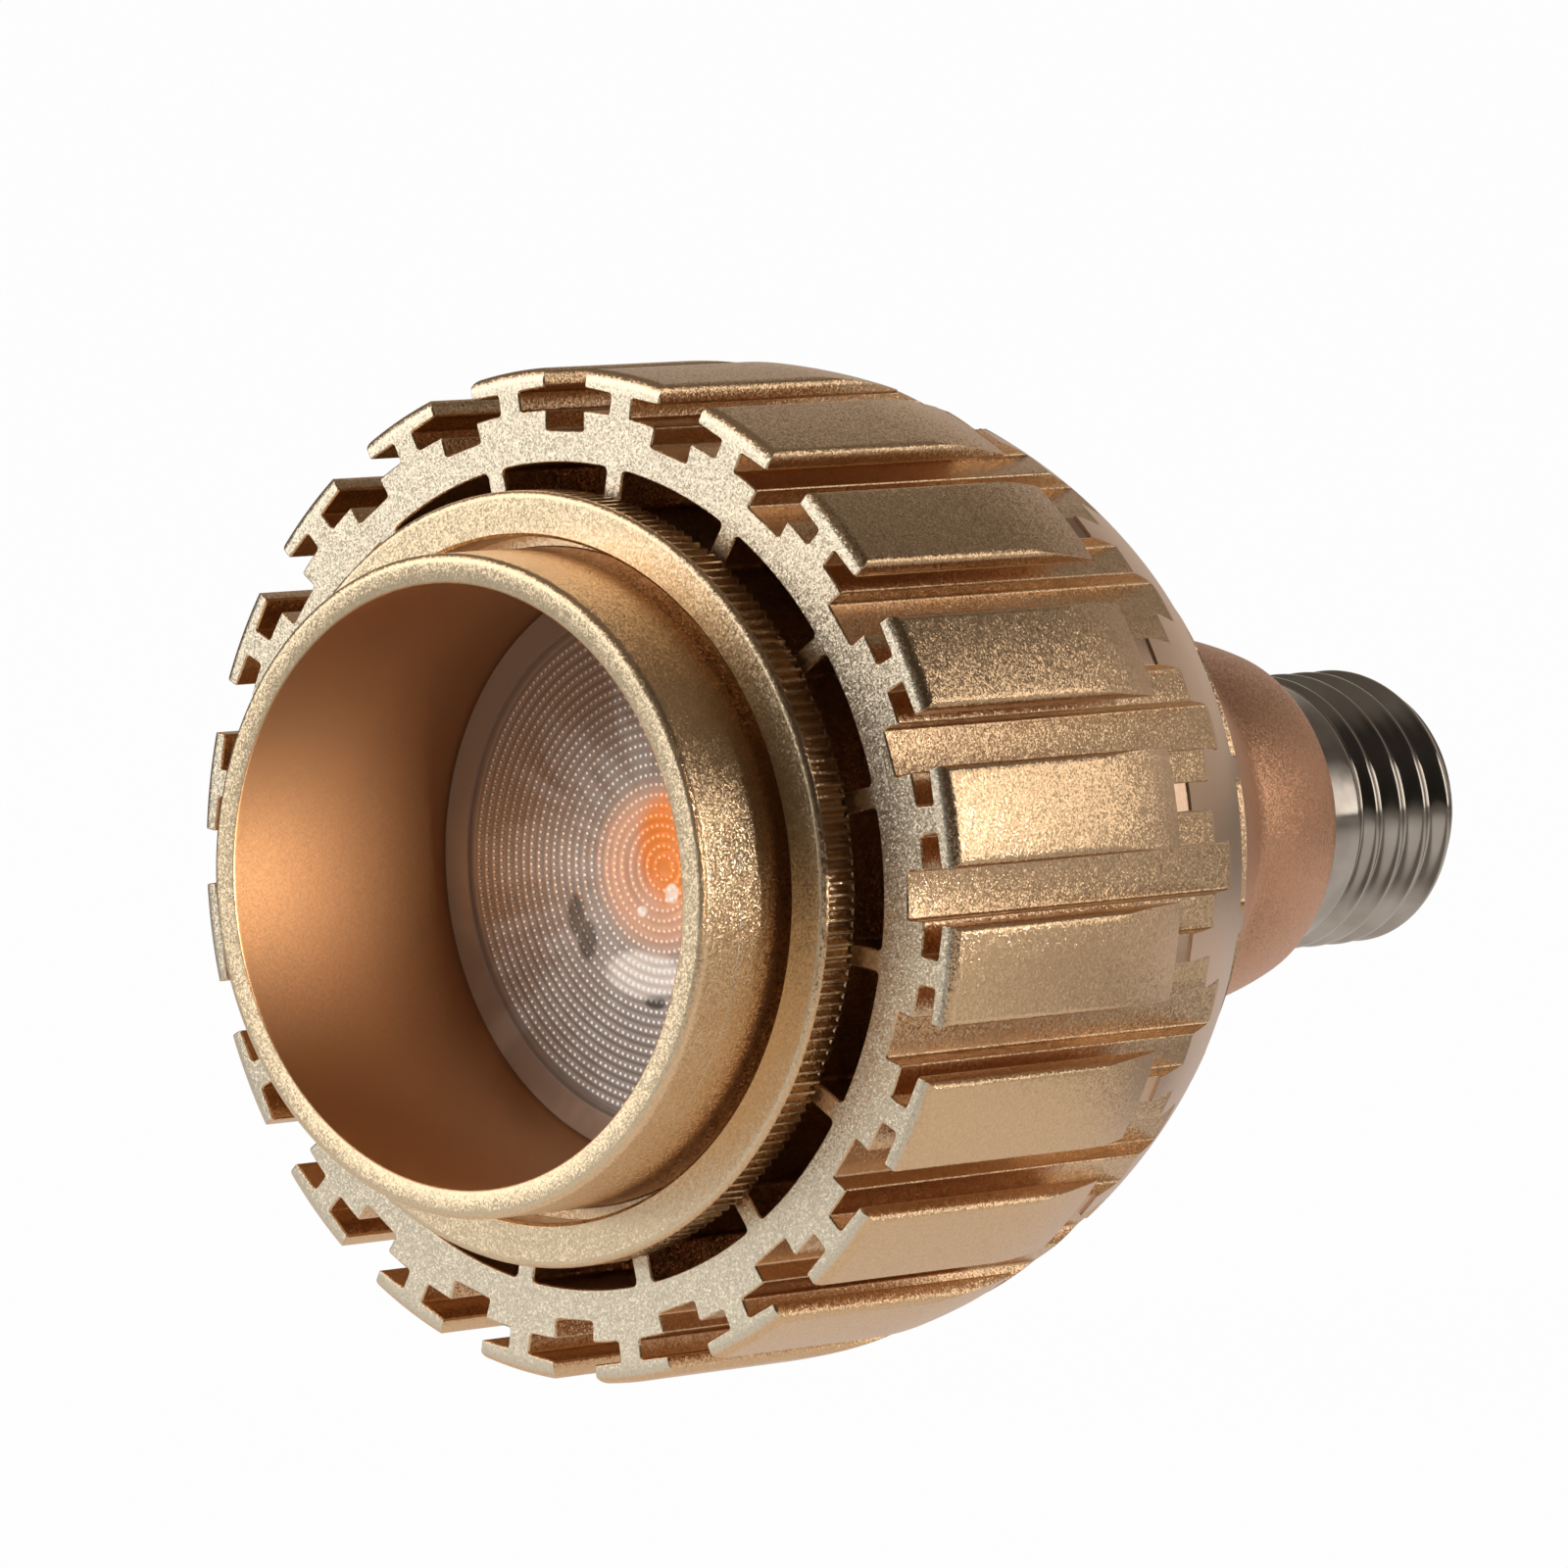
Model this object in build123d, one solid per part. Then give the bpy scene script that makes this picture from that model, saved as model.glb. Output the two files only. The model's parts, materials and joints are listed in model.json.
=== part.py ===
from build123d import *
import math
import os

# A PAR spotlight bulb with a screw cap, in millimetres.
# The bulb's axis is Y. Light leaves towards -Y, and the origin is the tip of the centre contact.
# Distances along the axis are given behind the heat sink's front face, and back() turns them into Y.

# Overall
body_radius = 45.9
body_end = 55.6
neck_length = 34.6
cap_gap = 0.3

# Heat sink section, an extrusion
fin_count = 20
fin_angle = -9.7
fin_cap_width = 9.1
fin_cap_thickness = 2.0
fin_cap_bevel = 0.35
fin_stem_width = 2.6
fin_stem_height = 1.8
notch_width = 4.4
notch_depth = 1.9
wall_thickness = 2.9
channel_depth = 3.5
tube_wall = 0.9
rib_count = 16
rib_angle = -14.0
rib_width = 2.0

# Heat sink turning
face_chamfer = 0.8
straight_length = 20.0
dome_radius = 57.0
fin_cap_end = 32.6
relief_depth = 2.4
relief_end = 35.6
led_step = 1.5

# Hood
hood_wall = 2.7
hood_front = -15.3
hood_rim_bevel = 0.65
hood_bore_bevel = 0.2
hood_clearance = 0.06
hood_travel = 8.0
hood_end_gap = 0.9
hood_tail_wall = 1.8
carrier_gap = 0.6
carrier_width = 3.0
carrier_clearance = 0.3
lens_seat_width = 1.5
lens_seat_height = 1.7

# Knurled ring
ring_front = -5.2
ring_rear = -1.3
ring_flange_height = 1.4
ring_bevel = 0.7
ring_mouth_gap = 1.1
ring_mouth_depth = 4.2
ring_hub_inset = 0.2
ring_sleeve_wall = 1.98
ring_sleeve_end = 8.6
knurl_count = 200
knurl_depth = 0.5
sleeve_clearance = 0.06

# Slip washer and snap ring
washer_thickness = 0.35
washer_gap = 0.05
circlip_groove_depth = 1.0
circlip_groove_start = 6.2
circlip_groove_width = 1.2
circlip_thickness = 1.0
circlip_height = 1.6
circlip_opening = 5.0
circlip_clearance = 0.1
circlip_seat_depth = 0.3

# Lens
lens_front = 12.6
lens_clearance = 0.15
lens_flange_thickness = 1.4
lens_flange_width = 2.85
lens_groove_width = 0.9
lens_groove_depth = 0.5
lens_length = 17.9
lens_rear_radius = 9.0
lens_well_radius = 6.6
lens_well_depth = 6.0
lens_shoulder = 0.2
gasket_thickness = 0.4

# Guide pins
pin_radius = 0.8
pin_hood_gap = 0.1
pin_count = 3
pin_angle = 60.0
pin_clearance = 0.06
pin_end_gap = 0.2
pin_hole_depth = 2.5

# LED and its plate
led_plate_thickness = 4.0
led_plate_clearance = 0.04
led_pad_thickness = 0.3
led_board_side = 19.0
led_board_thickness = 1.5
led_dam_radius = 8.4
led_dam_width = 0.8
led_dam_height = 0.5
led_phosphor_height = 0.4
led_holder_radius = 16.0
led_holder_height = 3.2
led_holder_pocket_clearance = 0.5
led_opening_radius = 8.6
led_opening_flare = 2.4
holder_screw_offset = 12.6
holder_screw_radius = 1.25
holder_screw_head_radius = 2.2
holder_screw_head_height = 1.3
holder_screw_length = 5.5
screw_clearance = 0.05

# Screws that pull the LED plate and the neck together
clamp_screw_count = 3
clamp_screw_radius = 1.5
clamp_screw_head_radius = 2.8
clamp_screw_length = 12.0
boss_radius = 3.4
boss_inset = 3.1
boss_length = 9.0

# Insulation disc and leads
disc_thickness = 0.6
disc_inset = 2.5
lead_radius = 0.6
lead_offset = 12.4
lead_hole_radius = 1.1

# Neck
neck_wall = 2.0
plug_clearance = 0.1
plug_length = 8.0
neck_rim_inset = 0.6
neck_rim_height = 0.8
neck_cone_length = 15.4
neck_cone_end_radius = 21.6
neck_body_length = 14.7
neck_body_radius = 18.5
neck_lip_radius = 15.9
neck_lip_bevel = 0.45
spigot_length = 18.0
spigot_clearance = 0.05
spigot_bore_radius = 9.5

# Driver
board_thickness = 1.6
board_front_inset = 3.6
board_half_width = 14.0
board_rear_half_width = 12.8
board_taper_length = 18.2
part_gap = 1.5
board_edge_gap = 2.0
transformer_width = 17.0
transformer_height = 13.5
transformer_core_thickness = 5.0
transformer_margin = 2.0
transformer_lip = 1.0
capacitor_radius = 5.0
capacitor_length = 14.5
capacitor_rim = 0.6
film_width = 11.0
film_height = 6.5
film_corner = 0.8
choke_radius = 4.5
choke_height = 8.0
choke_waist_radius = 3.4
choke_flange = 1.2
rectifier_length = 6.0
rectifier_width = 8.0
rectifier_height = 2.6
contact_lead_radius = 0.5

# Screw cap, E27
shell_thickness = 0.35
shell_band_radius = 12.95
thread_crest_radius = 13.2
thread_root_radius = 12.1
thread_pitch = 3.63
thread_first_crest = 9.2
thread_turns = 4
thread_crest_width = 1.1
thread_crest_drop = 0.15
thread_root_width = 0.55
thread_runout = 0.8
shell_shoulder_width = 1.2
shell_shoulder_depth = 1.0
shell_shoulder_radius = 10.9
shell_opening_radius = 9.2
insulator_tip_radius = 5.3
cap_nose = 3.72
insulator_flange = 1.5
insulator_clearance = 0.1
insulator_step = 0.6
contact_radius = 4.9
contact_height = 1.2
contact_rivet_radius = 1.5
contact_rivet_length = 5.5

# Radii that follow from the body's, from the fins inwards
fin_cap_under_radius = body_radius - fin_cap_thickness
land_radius = fin_cap_under_radius - fin_stem_height
notch_radius = land_radius - notch_depth
wall_inner_radius = notch_radius - wall_thickness
tube_radius = wall_inner_radius - channel_depth
circlip_groove_radius = tube_radius - tube_wall
front_bore_radius = circlip_groove_radius - circlip_groove_depth
tube_bore_radius = front_bore_radius - led_step
ring_hub_radius = tube_radius - ring_hub_inset
ring_radius = ring_hub_radius + ring_flange_height
ring_sleeve_radius = front_bore_radius - sleeve_clearance
ring_bore_radius = ring_sleeve_radius - ring_sleeve_wall
hood_radius = ring_bore_radius - hood_clearance
hood_bore_radius = hood_radius - hood_wall
hood_tail_radius = hood_bore_radius + hood_tail_wall
lens_seat_radius = hood_bore_radius - lens_seat_height
carrier_radius = front_bore_radius - carrier_clearance
pin_circle_radius = hood_radius + pin_hood_gap + pin_radius
plug_radius = tube_bore_radius - plug_clearance
clamp_screw_circle = plug_radius - neck_wall - boss_inset

# Places along the axis that follow from each other
carrier_start = ring_sleeve_end + carrier_gap
carrier_end = carrier_start + carrier_width
pin_front = ring_sleeve_end + pin_end_gap
lens_flange_rear = lens_front + lens_flange_thickness
lens_seat_start = lens_flange_rear + gasket_thickness
# With the hood turned right in, its lens stops just short of the LED holder.
led_holder_front = lens_front + lens_length + hood_travel + hood_end_gap
led_plate_front = led_holder_front + led_holder_height
led_board_front = led_plate_front - led_pad_thickness - led_board_thickness
led_seat = led_plate_front + led_plate_thickness
neck_cone_end = body_end + neck_cone_length
body_length = body_end + neck_length
neck_body_start = body_length - neck_body_length
neck_floor = body_length - neck_wall
board_front = body_end - board_front_inset
capacitor_start = neck_floor - board_edge_gap - capacitor_length
rectifier_start = neck_floor - board_edge_gap - rectifier_length
choke_start = rectifier_start - part_gap - 2 * choke_radius
shell_start = body_length + cap_gap
thread_start = shell_start + thread_first_crest - thread_pitch / 2
thread_end = thread_start + thread_turns * thread_pitch + thread_root_width / 2
shell_end = thread_end + shell_shoulder_width
insulator_seat = shell_end - shell_thickness - shell_shoulder_depth
contact_tip = shell_end + cap_nose
face_y = -contact_tip


def back(distance):
    """Y of a place this far behind the heat sink's front face."""
    return face_y + distance


def turned(outline):
    """Solid of revolution about the bulb's axis, from (radius, distance) corners."""
    corners = [(radius, back(distance)) for radius, distance in outline]
    return revolve(make_face(Polyline(*corners, close=True)), Axis.Y)


def tube(outer, inner, start, end):
    return turned([(inner, start), (outer, start), (outer, end), (inner, end)])


def rod(radius, start, end, x=0.0, z=0.0):
    """Round bar along the axis."""
    middle = back((start + end) / 2)
    return Pos(x, middle, z) * Rot(90, 0, 0) * Cylinder(radius, end - start)


def block(x_range, distances, z_range):
    low = (x_range[0], back(distances[0]), z_range[0])
    size = (x_range[1] - x_range[0], distances[1] - distances[0], z_range[1] - z_range[0])
    middle = [start + length / 2 for start, length in zip(low, size)]
    return Pos(*middle) * Box(*size)


def drawn_through(section, start, end):
    """Extrude a section drawn with X across and Z up along the axis."""
    return Pos(0, back(end), 0) * Rot(90, 0, 0) * extrude(section, end - start, dir=(0, 0, 1))


def spoke(angle, radial, across=0.0):
    """Section point at a clock angle: radial out along the spoke, across to its clockwise side."""
    turn = math.radians(angle)
    return (
        radial * math.sin(turn) + across * math.cos(turn),
        radial * math.cos(turn) - across * math.sin(turn),
    )


def chord_height(radius, half_width):
    """Distance from the centre to the chord that is this wide on a circle."""
    return math.sqrt(radius ** 2 - half_width ** 2)


def around(count, first_angle):
    return [first_angle + index * 360 / count for index in range(count)]


def fin_outline(angle):
    """Edges of one T-shaped fin and of the notched floor after it, in clockwise order."""
    half_stem = fin_stem_width / 2
    half_cap = fin_cap_width / 2
    half_notch = notch_width / 2
    cap_shoulder = chord_height(body_radius, half_cap) - fin_cap_bevel
    cap_corner = chord_height(body_radius, half_cap - fin_cap_bevel)
    stem_foot = chord_height(land_radius, half_stem)
    notch_top = chord_height(land_radius, half_notch)
    notch_angle = angle + 180 / fin_count
    before_arc = [
        spoke(angle, stem_foot, -half_stem),
        spoke(angle, fin_cap_under_radius, -half_stem),
        spoke(angle, fin_cap_under_radius, -half_cap),
        spoke(angle, cap_shoulder, -half_cap),
        spoke(angle, cap_corner, fin_cap_bevel - half_cap),
    ]
    after_arc = [
        spoke(angle, cap_corner, half_cap - fin_cap_bevel),
        spoke(angle, cap_shoulder, half_cap),
        spoke(angle, fin_cap_under_radius, half_cap),
        spoke(angle, fin_cap_under_radius, half_stem),
        spoke(angle, stem_foot, half_stem),
        spoke(notch_angle, notch_top, -half_notch),
        spoke(notch_angle, notch_radius, -half_notch),
        spoke(notch_angle, notch_radius, half_notch),
        spoke(notch_angle, notch_top, half_notch),
        spoke(angle + 360 / fin_count, stem_foot, -half_stem),
    ]
    crown = ThreePointArc(before_arc[-1], spoke(angle, body_radius), after_arc[0])
    lines = [Line(*pair) for path in (before_arc, after_arc) for pair in zip(path, path[1:])]
    return lines + [crown]


def pocket_outline(angle):
    """Closed outline of the air channel between the rib at this angle and the next."""
    step = 360 / rib_count
    half_rib = rib_width / 2
    outer_along = chord_height(wall_inner_radius, half_rib)
    inner_along = chord_height(tube_radius, half_rib)
    outer_start = spoke(angle, outer_along, half_rib)
    outer_end = spoke(angle + step, outer_along, -half_rib)
    inner_start = spoke(angle, inner_along, half_rib)
    inner_end = spoke(angle + step, inner_along, -half_rib)
    middle = angle + step / 2
    return Wire([
        ThreePointArc(outer_start, spoke(middle, wall_inner_radius), outer_end).edge(),
        Line(outer_end, inner_end).edge(),
        ThreePointArc(inner_end, spoke(middle, tube_radius), inner_start).edge(),
        Line(inner_start, outer_start).edge(),
    ])


def heat_sink_section():
    edges = [line.edge() for angle in around(fin_count, fin_angle) for line in fin_outline(angle)]
    outline = Wire.combine(edges)[0]
    pockets = [pocket_outline(angle) for angle in around(rib_count, rib_angle)]
    bore = Wire.make_circle(tube_bore_radius)
    return Face(outline, pockets + [bore])


def dome(distance):
    """Radius of the turned outline at this distance."""
    run = distance - straight_length
    return body_radius - dome_radius + math.sqrt(dome_radius ** 2 - run ** 2)


def dome_arc(start, end):
    middle = (start + end) / 2
    ends = [(dome(distance), back(distance)) for distance in (start, middle, end)]
    return ThreePointArc(*ends)


def turned_envelope():
    """The lathe's outline: front chamfer, straight, dome, relief behind the fin caps, flat end."""
    first_arc = dome_arc(straight_length, fin_cap_end)
    second_arc = dome_arc(relief_end, body_end)
    front = Polyline(
        (0, back(0)),
        (body_radius - face_chamfer, back(0)),
        (body_radius, back(face_chamfer)),
        (body_radius, back(straight_length)),
    )
    relief = Polyline(
        (dome(fin_cap_end), back(fin_cap_end)),
        (body_radius - relief_depth, back(fin_cap_end)),
        (body_radius - relief_depth, back(relief_end)),
        (dome(relief_end), back(relief_end)),
    )
    close = Polyline((dome(body_end), back(body_end)), (0, back(body_end)), (0, back(0)))
    return revolve(make_face([front, first_arc, relief, second_arc, close]), Axis.Y)


def heat_sink():
    body = drawn_through(heat_sink_section(), 0, body_end) & turned_envelope()
    groove_end = circlip_groove_start + circlip_groove_width
    counterbore = turned([
        (0, 0),
        (front_bore_radius, 0),
        (front_bore_radius, circlip_groove_start),
        (circlip_groove_radius, circlip_groove_start),
        (circlip_groove_radius, groove_end),
        (front_bore_radius, groove_end),
        (front_bore_radius, led_seat),
        (0, led_seat),
    ])
    return body - counterbore


def knurl_band(start, end):
    """Straight knurl: V-grooves all round the ring's rim."""
    points = []
    for angle in around(knurl_count, 0):
        points.append(spoke(angle, ring_radius))
        points.append(spoke(angle + 180 / knurl_count, ring_radius - knurl_depth))
    outline = Wire.make_polygon([(x, z, 0) for x, z in points], close=True)
    return drawn_through(Face(outline, [Wire.make_circle(ring_hub_radius)]), start, end)


def knurled_ring():
    mouth_radius = hood_radius + ring_mouth_gap
    groove_floor = circlip_groove_radius - circlip_height - circlip_seat_depth
    groove_end = circlip_groove_start + circlip_groove_width
    mouth_end = ring_front + ring_mouth_depth
    hub_end = -(washer_thickness + washer_gap)
    bevel_end = ring_front + ring_bevel
    body = turned([
        (mouth_radius, ring_front),
        (ring_radius - ring_bevel, ring_front),
        (ring_radius, bevel_end),
        (ring_hub_radius, bevel_end),
        (ring_hub_radius, hub_end),
        (ring_sleeve_radius, hub_end),
        (ring_sleeve_radius, circlip_groove_start),
        (groove_floor, circlip_groove_start),
        (groove_floor, groove_end),
        (ring_sleeve_radius, groove_end),
        (ring_sleeve_radius, ring_sleeve_end),
        (ring_bore_radius, ring_sleeve_end),
        (ring_bore_radius, mouth_end),
        (mouth_radius, mouth_end),
    ])
    return body + knurl_band(bevel_end, ring_rear)


def ring_washer():
    return tube(ring_hub_radius, front_bore_radius + circlip_clearance, -washer_thickness, 0)


def ring_circlip():
    outer = circlip_groove_radius - circlip_clearance
    start = circlip_groove_start + circlip_clearance
    ring = tube(outer, outer - circlip_height, start, start + circlip_thickness)
    opening = block(
        (-circlip_opening / 2, circlip_opening / 2),
        (start, start + circlip_thickness),
        (outer - 2 * circlip_height, outer + circlip_height),
    )
    return ring - opening


def hood():
    tail_end = lens_seat_start + lens_seat_width
    shell = turned([
        (hood_bore_radius + hood_bore_bevel, hood_front),
        (hood_radius - hood_rim_bevel, hood_front),
        (hood_radius, hood_front + hood_rim_bevel),
        (hood_radius, carrier_start),
        (carrier_radius, carrier_start),
        (carrier_radius, carrier_end),
        (hood_tail_radius, carrier_end),
        (hood_tail_radius, tail_end),
        (lens_seat_radius, tail_end),
        (lens_seat_radius, lens_seat_start),
        (hood_bore_radius, lens_seat_start),
        (hood_bore_radius, hood_front + hood_bore_bevel),
    ])
    for angle in around(pin_count, pin_angle):
        shell -= Rot(0, angle, 0) * guide_slot(carrier_start, carrier_end)
    return shell


def guide_slot(start, end):
    """Open-ended slot at the top of the carrier, round at the bottom, for one guide pin."""
    half = pin_radius + pin_clearance
    round_end = rod(half, start, end, 0, pin_circle_radius)
    mouth = block((-half, half), (start, end), (pin_circle_radius, front_bore_radius))
    return round_end + mouth


def lens():
    flange_radius = hood_bore_radius - lens_clearance
    cone_radius = lens_seat_radius - lens_clearance
    seat_end = lens_seat_start + lens_seat_width
    end = lens_front + lens_length
    groove_outer = flange_radius - lens_flange_width
    groove_inner = groove_outer - lens_groove_width
    return turned([
        (0, lens_front),
        (groove_inner, lens_front),
        (groove_inner, lens_front + lens_groove_depth),
        (groove_outer, lens_front + lens_groove_depth),
        (groove_outer, lens_front),
        (flange_radius, lens_front),
        (flange_radius, lens_flange_rear),
        (cone_radius, lens_flange_rear),
        (cone_radius - lens_shoulder, seat_end),
        (lens_rear_radius, end),
        (lens_well_radius, end),
        (lens_well_radius, end - lens_well_depth),
        (0, end - lens_well_depth),
    ])


def lens_gasket():
    outer = hood_bore_radius - lens_clearance
    return tube(outer, lens_seat_radius, lens_flange_rear, lens_seat_start)


def guide_pin_places():
    return [spoke(angle, pin_circle_radius) for angle in around(pin_count, pin_angle)]


def guide_pins():
    end = led_plate_front + pin_hole_depth
    return [rod(pin_radius, pin_front, end, x, z) for x, z in guide_pin_places()]


def clamp_screw_places():
    return [spoke(angle, clamp_screw_circle) for angle in around(clamp_screw_count, 0)]


def holder_screw_places():
    return [(-holder_screw_offset, 0), (holder_screw_offset, 0)]


def lead_places():
    return [(0, -lead_offset), (0, lead_offset)]


def countersunk(radius, head_radius, start, end, place):
    """Screw along the axis with a flat-topped conical head at its front."""
    head_depth = head_radius - radius
    profile = [
        (0, start),
        (head_radius, start),
        (radius, start + head_depth),
        (radius, end),
        (0, end),
    ]
    return Pos(place[0], 0, place[1]) * turned(profile)


def led_plate():
    front = led_plate_front
    plate = rod(front_bore_radius - led_plate_clearance, front, led_seat)
    for x, z in guide_pin_places():
        plate -= rod(pin_radius, front, front + pin_hole_depth, x, z)
    for place in clamp_screw_places():
        plate -= countersunk(
            clamp_screw_radius + screw_clearance,
            clamp_screw_head_radius + screw_clearance,
            front,
            led_seat,
            place,
        )
    screw_depth = led_holder_front + holder_screw_length + holder_screw_head_height
    for x, z in holder_screw_places():
        plate -= rod(holder_screw_radius, front, screw_depth, x, z)
    for x, z in lead_places():
        plate -= rod(lead_hole_radius, front, led_seat, x, z)
    return plate


def square_layer(side, start, end):
    half = side / 2
    return block((-half, half), (start, end), (-half, half))


def thermal_pad():
    front = led_plate_front - led_pad_thickness
    return square_layer(led_board_side, front, led_plate_front)


def led_board():
    end = led_board_front + led_board_thickness
    return square_layer(led_board_side, led_board_front, end)


def led_dam():
    front = led_board_front - led_dam_height
    return tube(led_dam_radius, led_dam_radius - led_dam_width, front, led_board_front)


def led_phosphor():
    front = led_board_front - led_phosphor_height
    return rod(led_dam_radius - led_dam_width, front, led_board_front)


def led_holder():
    front = led_holder_front
    rear = led_plate_front
    holder = turned([
        (led_opening_radius + led_opening_flare, front),
        (led_holder_radius, front),
        (led_holder_radius, rear),
        (led_opening_radius, rear),
        (led_opening_radius, led_board_front),
    ])
    pocket_side = led_board_side + 2 * led_holder_pocket_clearance
    holder -= square_layer(pocket_side, led_board_front, rear)
    for x, z in holder_screw_places():
        head_end = front + holder_screw_head_height
        holder -= rod(holder_screw_head_radius + screw_clearance, front, head_end, x, z)
        holder -= rod(holder_screw_radius + screw_clearance, front, rear, x, z)
    for x, z in lead_places():
        holder -= rod(lead_radius + screw_clearance, led_board_front, rear, x, z)
    return holder


def led_holder_screws():
    head_end = led_holder_front + holder_screw_head_height
    screw_end = head_end + holder_screw_length
    screws = []
    for x, z in holder_screw_places():
        head = rod(holder_screw_head_radius, led_holder_front, head_end, x, z)
        screws.append(head + rod(holder_screw_radius, led_holder_front, screw_end, x, z))
    return screws


def clamp_screws():
    front = led_plate_front
    end = front + clamp_screw_length
    return [
        countersunk(clamp_screw_radius, clamp_screw_head_radius, front, end, place)
        for place in clamp_screw_places()
    ]


def insulation_disc():
    end = led_seat + disc_thickness
    disc = rod(tube_bore_radius - disc_inset, led_seat, end)
    for x, z in clamp_screw_places():
        disc -= rod(clamp_screw_radius + screw_clearance, led_seat, end, x, z)
    for x, z in lead_places():
        disc -= rod(lead_radius + screw_clearance, led_seat, end, x, z)
    return disc


def led_leads():
    return [rod(lead_radius, led_board_front, board_front, x, z) for x, z in lead_places()]


def neck_outer():
    """Outer solid of the neck: rim, cone, rounded body and lip."""
    shoulder_end = neck_lip_radius + neck_lip_bevel
    drop = neck_body_radius - shoulder_end
    crown = (neck_body_length ** 2 + drop ** 2) / (2 * drop)
    half = neck_body_length / 2
    middle_radius = neck_body_radius - crown + math.sqrt(crown ** 2 - half ** 2)
    lip_start = body_length - neck_lip_bevel
    rim_radius = tube_radius - neck_rim_inset
    rim = Polyline(
        (0, back(body_end)),
        (rim_radius, back(body_end)),
        (rim_radius - neck_rim_height, back(body_end + neck_rim_height)),
        (neck_cone_end_radius, back(neck_cone_end)),
    )
    throat = TangentArc(
        rim @ 1,
        (neck_body_radius, back(neck_body_start)),
        tangent=rim % 1,
    )
    shoulder = ThreePointArc(
        (neck_body_radius, back(neck_body_start)),
        (middle_radius, back(neck_body_start + half)),
        (shoulder_end, back(lip_start)),
    )
    close = Polyline(
        (shoulder_end, back(lip_start)),
        (neck_lip_radius, back(body_length)),
        (0, back(body_length)),
        (0, back(body_end)),
    )
    return revolve(make_face([rim, throat, shoulder, close]), Axis.Y)


def neck_cavity():
    """Space for the driver, one wall inside the neck."""
    plug_bore = plug_radius - neck_wall
    body_bore = neck_body_radius - neck_wall
    rear_bore = neck_lip_radius - neck_wall
    return turned([
        (0, body_end - plug_length),
        (plug_bore, body_end - plug_length),
        (plug_bore, body_end),
        (neck_cone_end_radius - neck_wall, neck_cone_end - neck_wall),
        (body_bore, neck_body_start),
        (rear_bore, neck_floor),
        (0, neck_floor),
    ])


def neck_housing():
    plug_start = body_end - plug_length
    band_spigot = shell_band_radius - shell_thickness - spigot_clearance
    thread_spigot = thread_root_radius - shell_thickness - spigot_clearance
    spigot_end = body_length + spigot_length
    housing = neck_outer() + rod(plug_radius, plug_start, body_end)
    housing += rod(band_spigot, body_length, thread_start)
    housing += rod(thread_spigot, thread_start, spigot_end)
    housing -= neck_cavity()
    housing -= rod(spigot_bore_radius, neck_floor, spigot_end)
    boss_start = led_seat + disc_thickness
    screw_end = led_plate_front + clamp_screw_length
    for x, z in clamp_screw_places():
        housing += rod(boss_radius, boss_start, boss_start + boss_length, x, z)
    for x, z in clamp_screw_places():
        housing -= rod(clamp_screw_radius, boss_start, screw_end, x, z)
    return housing


def driver_board():
    taper_start = neck_floor - board_taper_length
    outline = Polyline(
        (back(board_front), -board_half_width),
        (back(board_front), board_half_width),
        (back(taper_start), board_half_width),
        (back(neck_floor), board_rear_half_width),
        (back(neck_floor), -board_rear_half_width),
        (back(taper_start), -board_half_width),
        close=True,
    )
    return extrude(Plane.YZ * make_face(outline), board_thickness / 2, both=True)


def transformer():
    """Bobbin, winding and core, in the length that the bulk capacitor leaves."""
    start = board_front + board_edge_gap
    end = capacitor_start - part_gap
    foot = board_thickness / 2
    top = foot + transformer_height
    lip = foot + transformer_lip
    half = transformer_width / 2
    winding_half = half - transformer_margin
    core_inset = (end - start - transformer_core_thickness) / 2
    winding = block(
        (foot, top - transformer_margin),
        (start + transformer_margin, end - transformer_margin),
        (-winding_half, winding_half),
    )
    winding = fillet(winding.edges().filter_by(Axis.X), transformer_margin)
    core = block((lip, top), (start + core_inset, end - core_inset), (-half, half))
    bobbin_half = half - transformer_lip
    bobbin = block((foot, lip), (start, end), (-bobbin_half, bobbin_half))
    return winding + core + bobbin


def bulk_capacitor():
    x = board_thickness / 2 + capacitor_radius
    can = rod(capacitor_radius, capacitor_start, capacitor_start + capacitor_length, x, 0)
    return fillet(can.edges().group_by(Axis.Y)[0], capacitor_rim)


def film_capacitor():
    """Box capacitor, in the length that the choke leaves."""
    foot = -board_thickness / 2
    half = film_width / 2
    distances = (board_front + board_edge_gap, choke_start - part_gap)
    body = block((foot - film_height, foot), distances, (-half, half))
    return fillet(body.edges().filter_by(Axis.X), film_corner)


def choke():
    foot = -board_thickness / 2
    middle = Pos(foot, back(choke_start + choke_radius), 0) * Rot(0, -90, 0)
    outline = [
        (0, 0),
        (choke_radius, 0),
        (choke_radius, choke_flange),
        (choke_waist_radius, choke_flange),
        (choke_waist_radius, choke_height - choke_flange),
        (choke_radius, choke_height - choke_flange),
        (choke_radius, choke_height),
        (0, choke_height),
    ]
    drum = revolve(Plane.XZ * make_face(Polyline(*outline, close=True)), Axis.Z)
    return middle * drum


def bridge_rectifier():
    foot = -board_thickness / 2
    half = rectifier_width / 2
    distances = (rectifier_start, rectifier_start + rectifier_length)
    return block((foot - rectifier_height, foot), distances, (-half, half))


def contact_lead():
    rivet_end = contact_tip - contact_height - contact_rivet_length
    return rod(contact_lead_radius, neck_floor, rivet_end)


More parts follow.
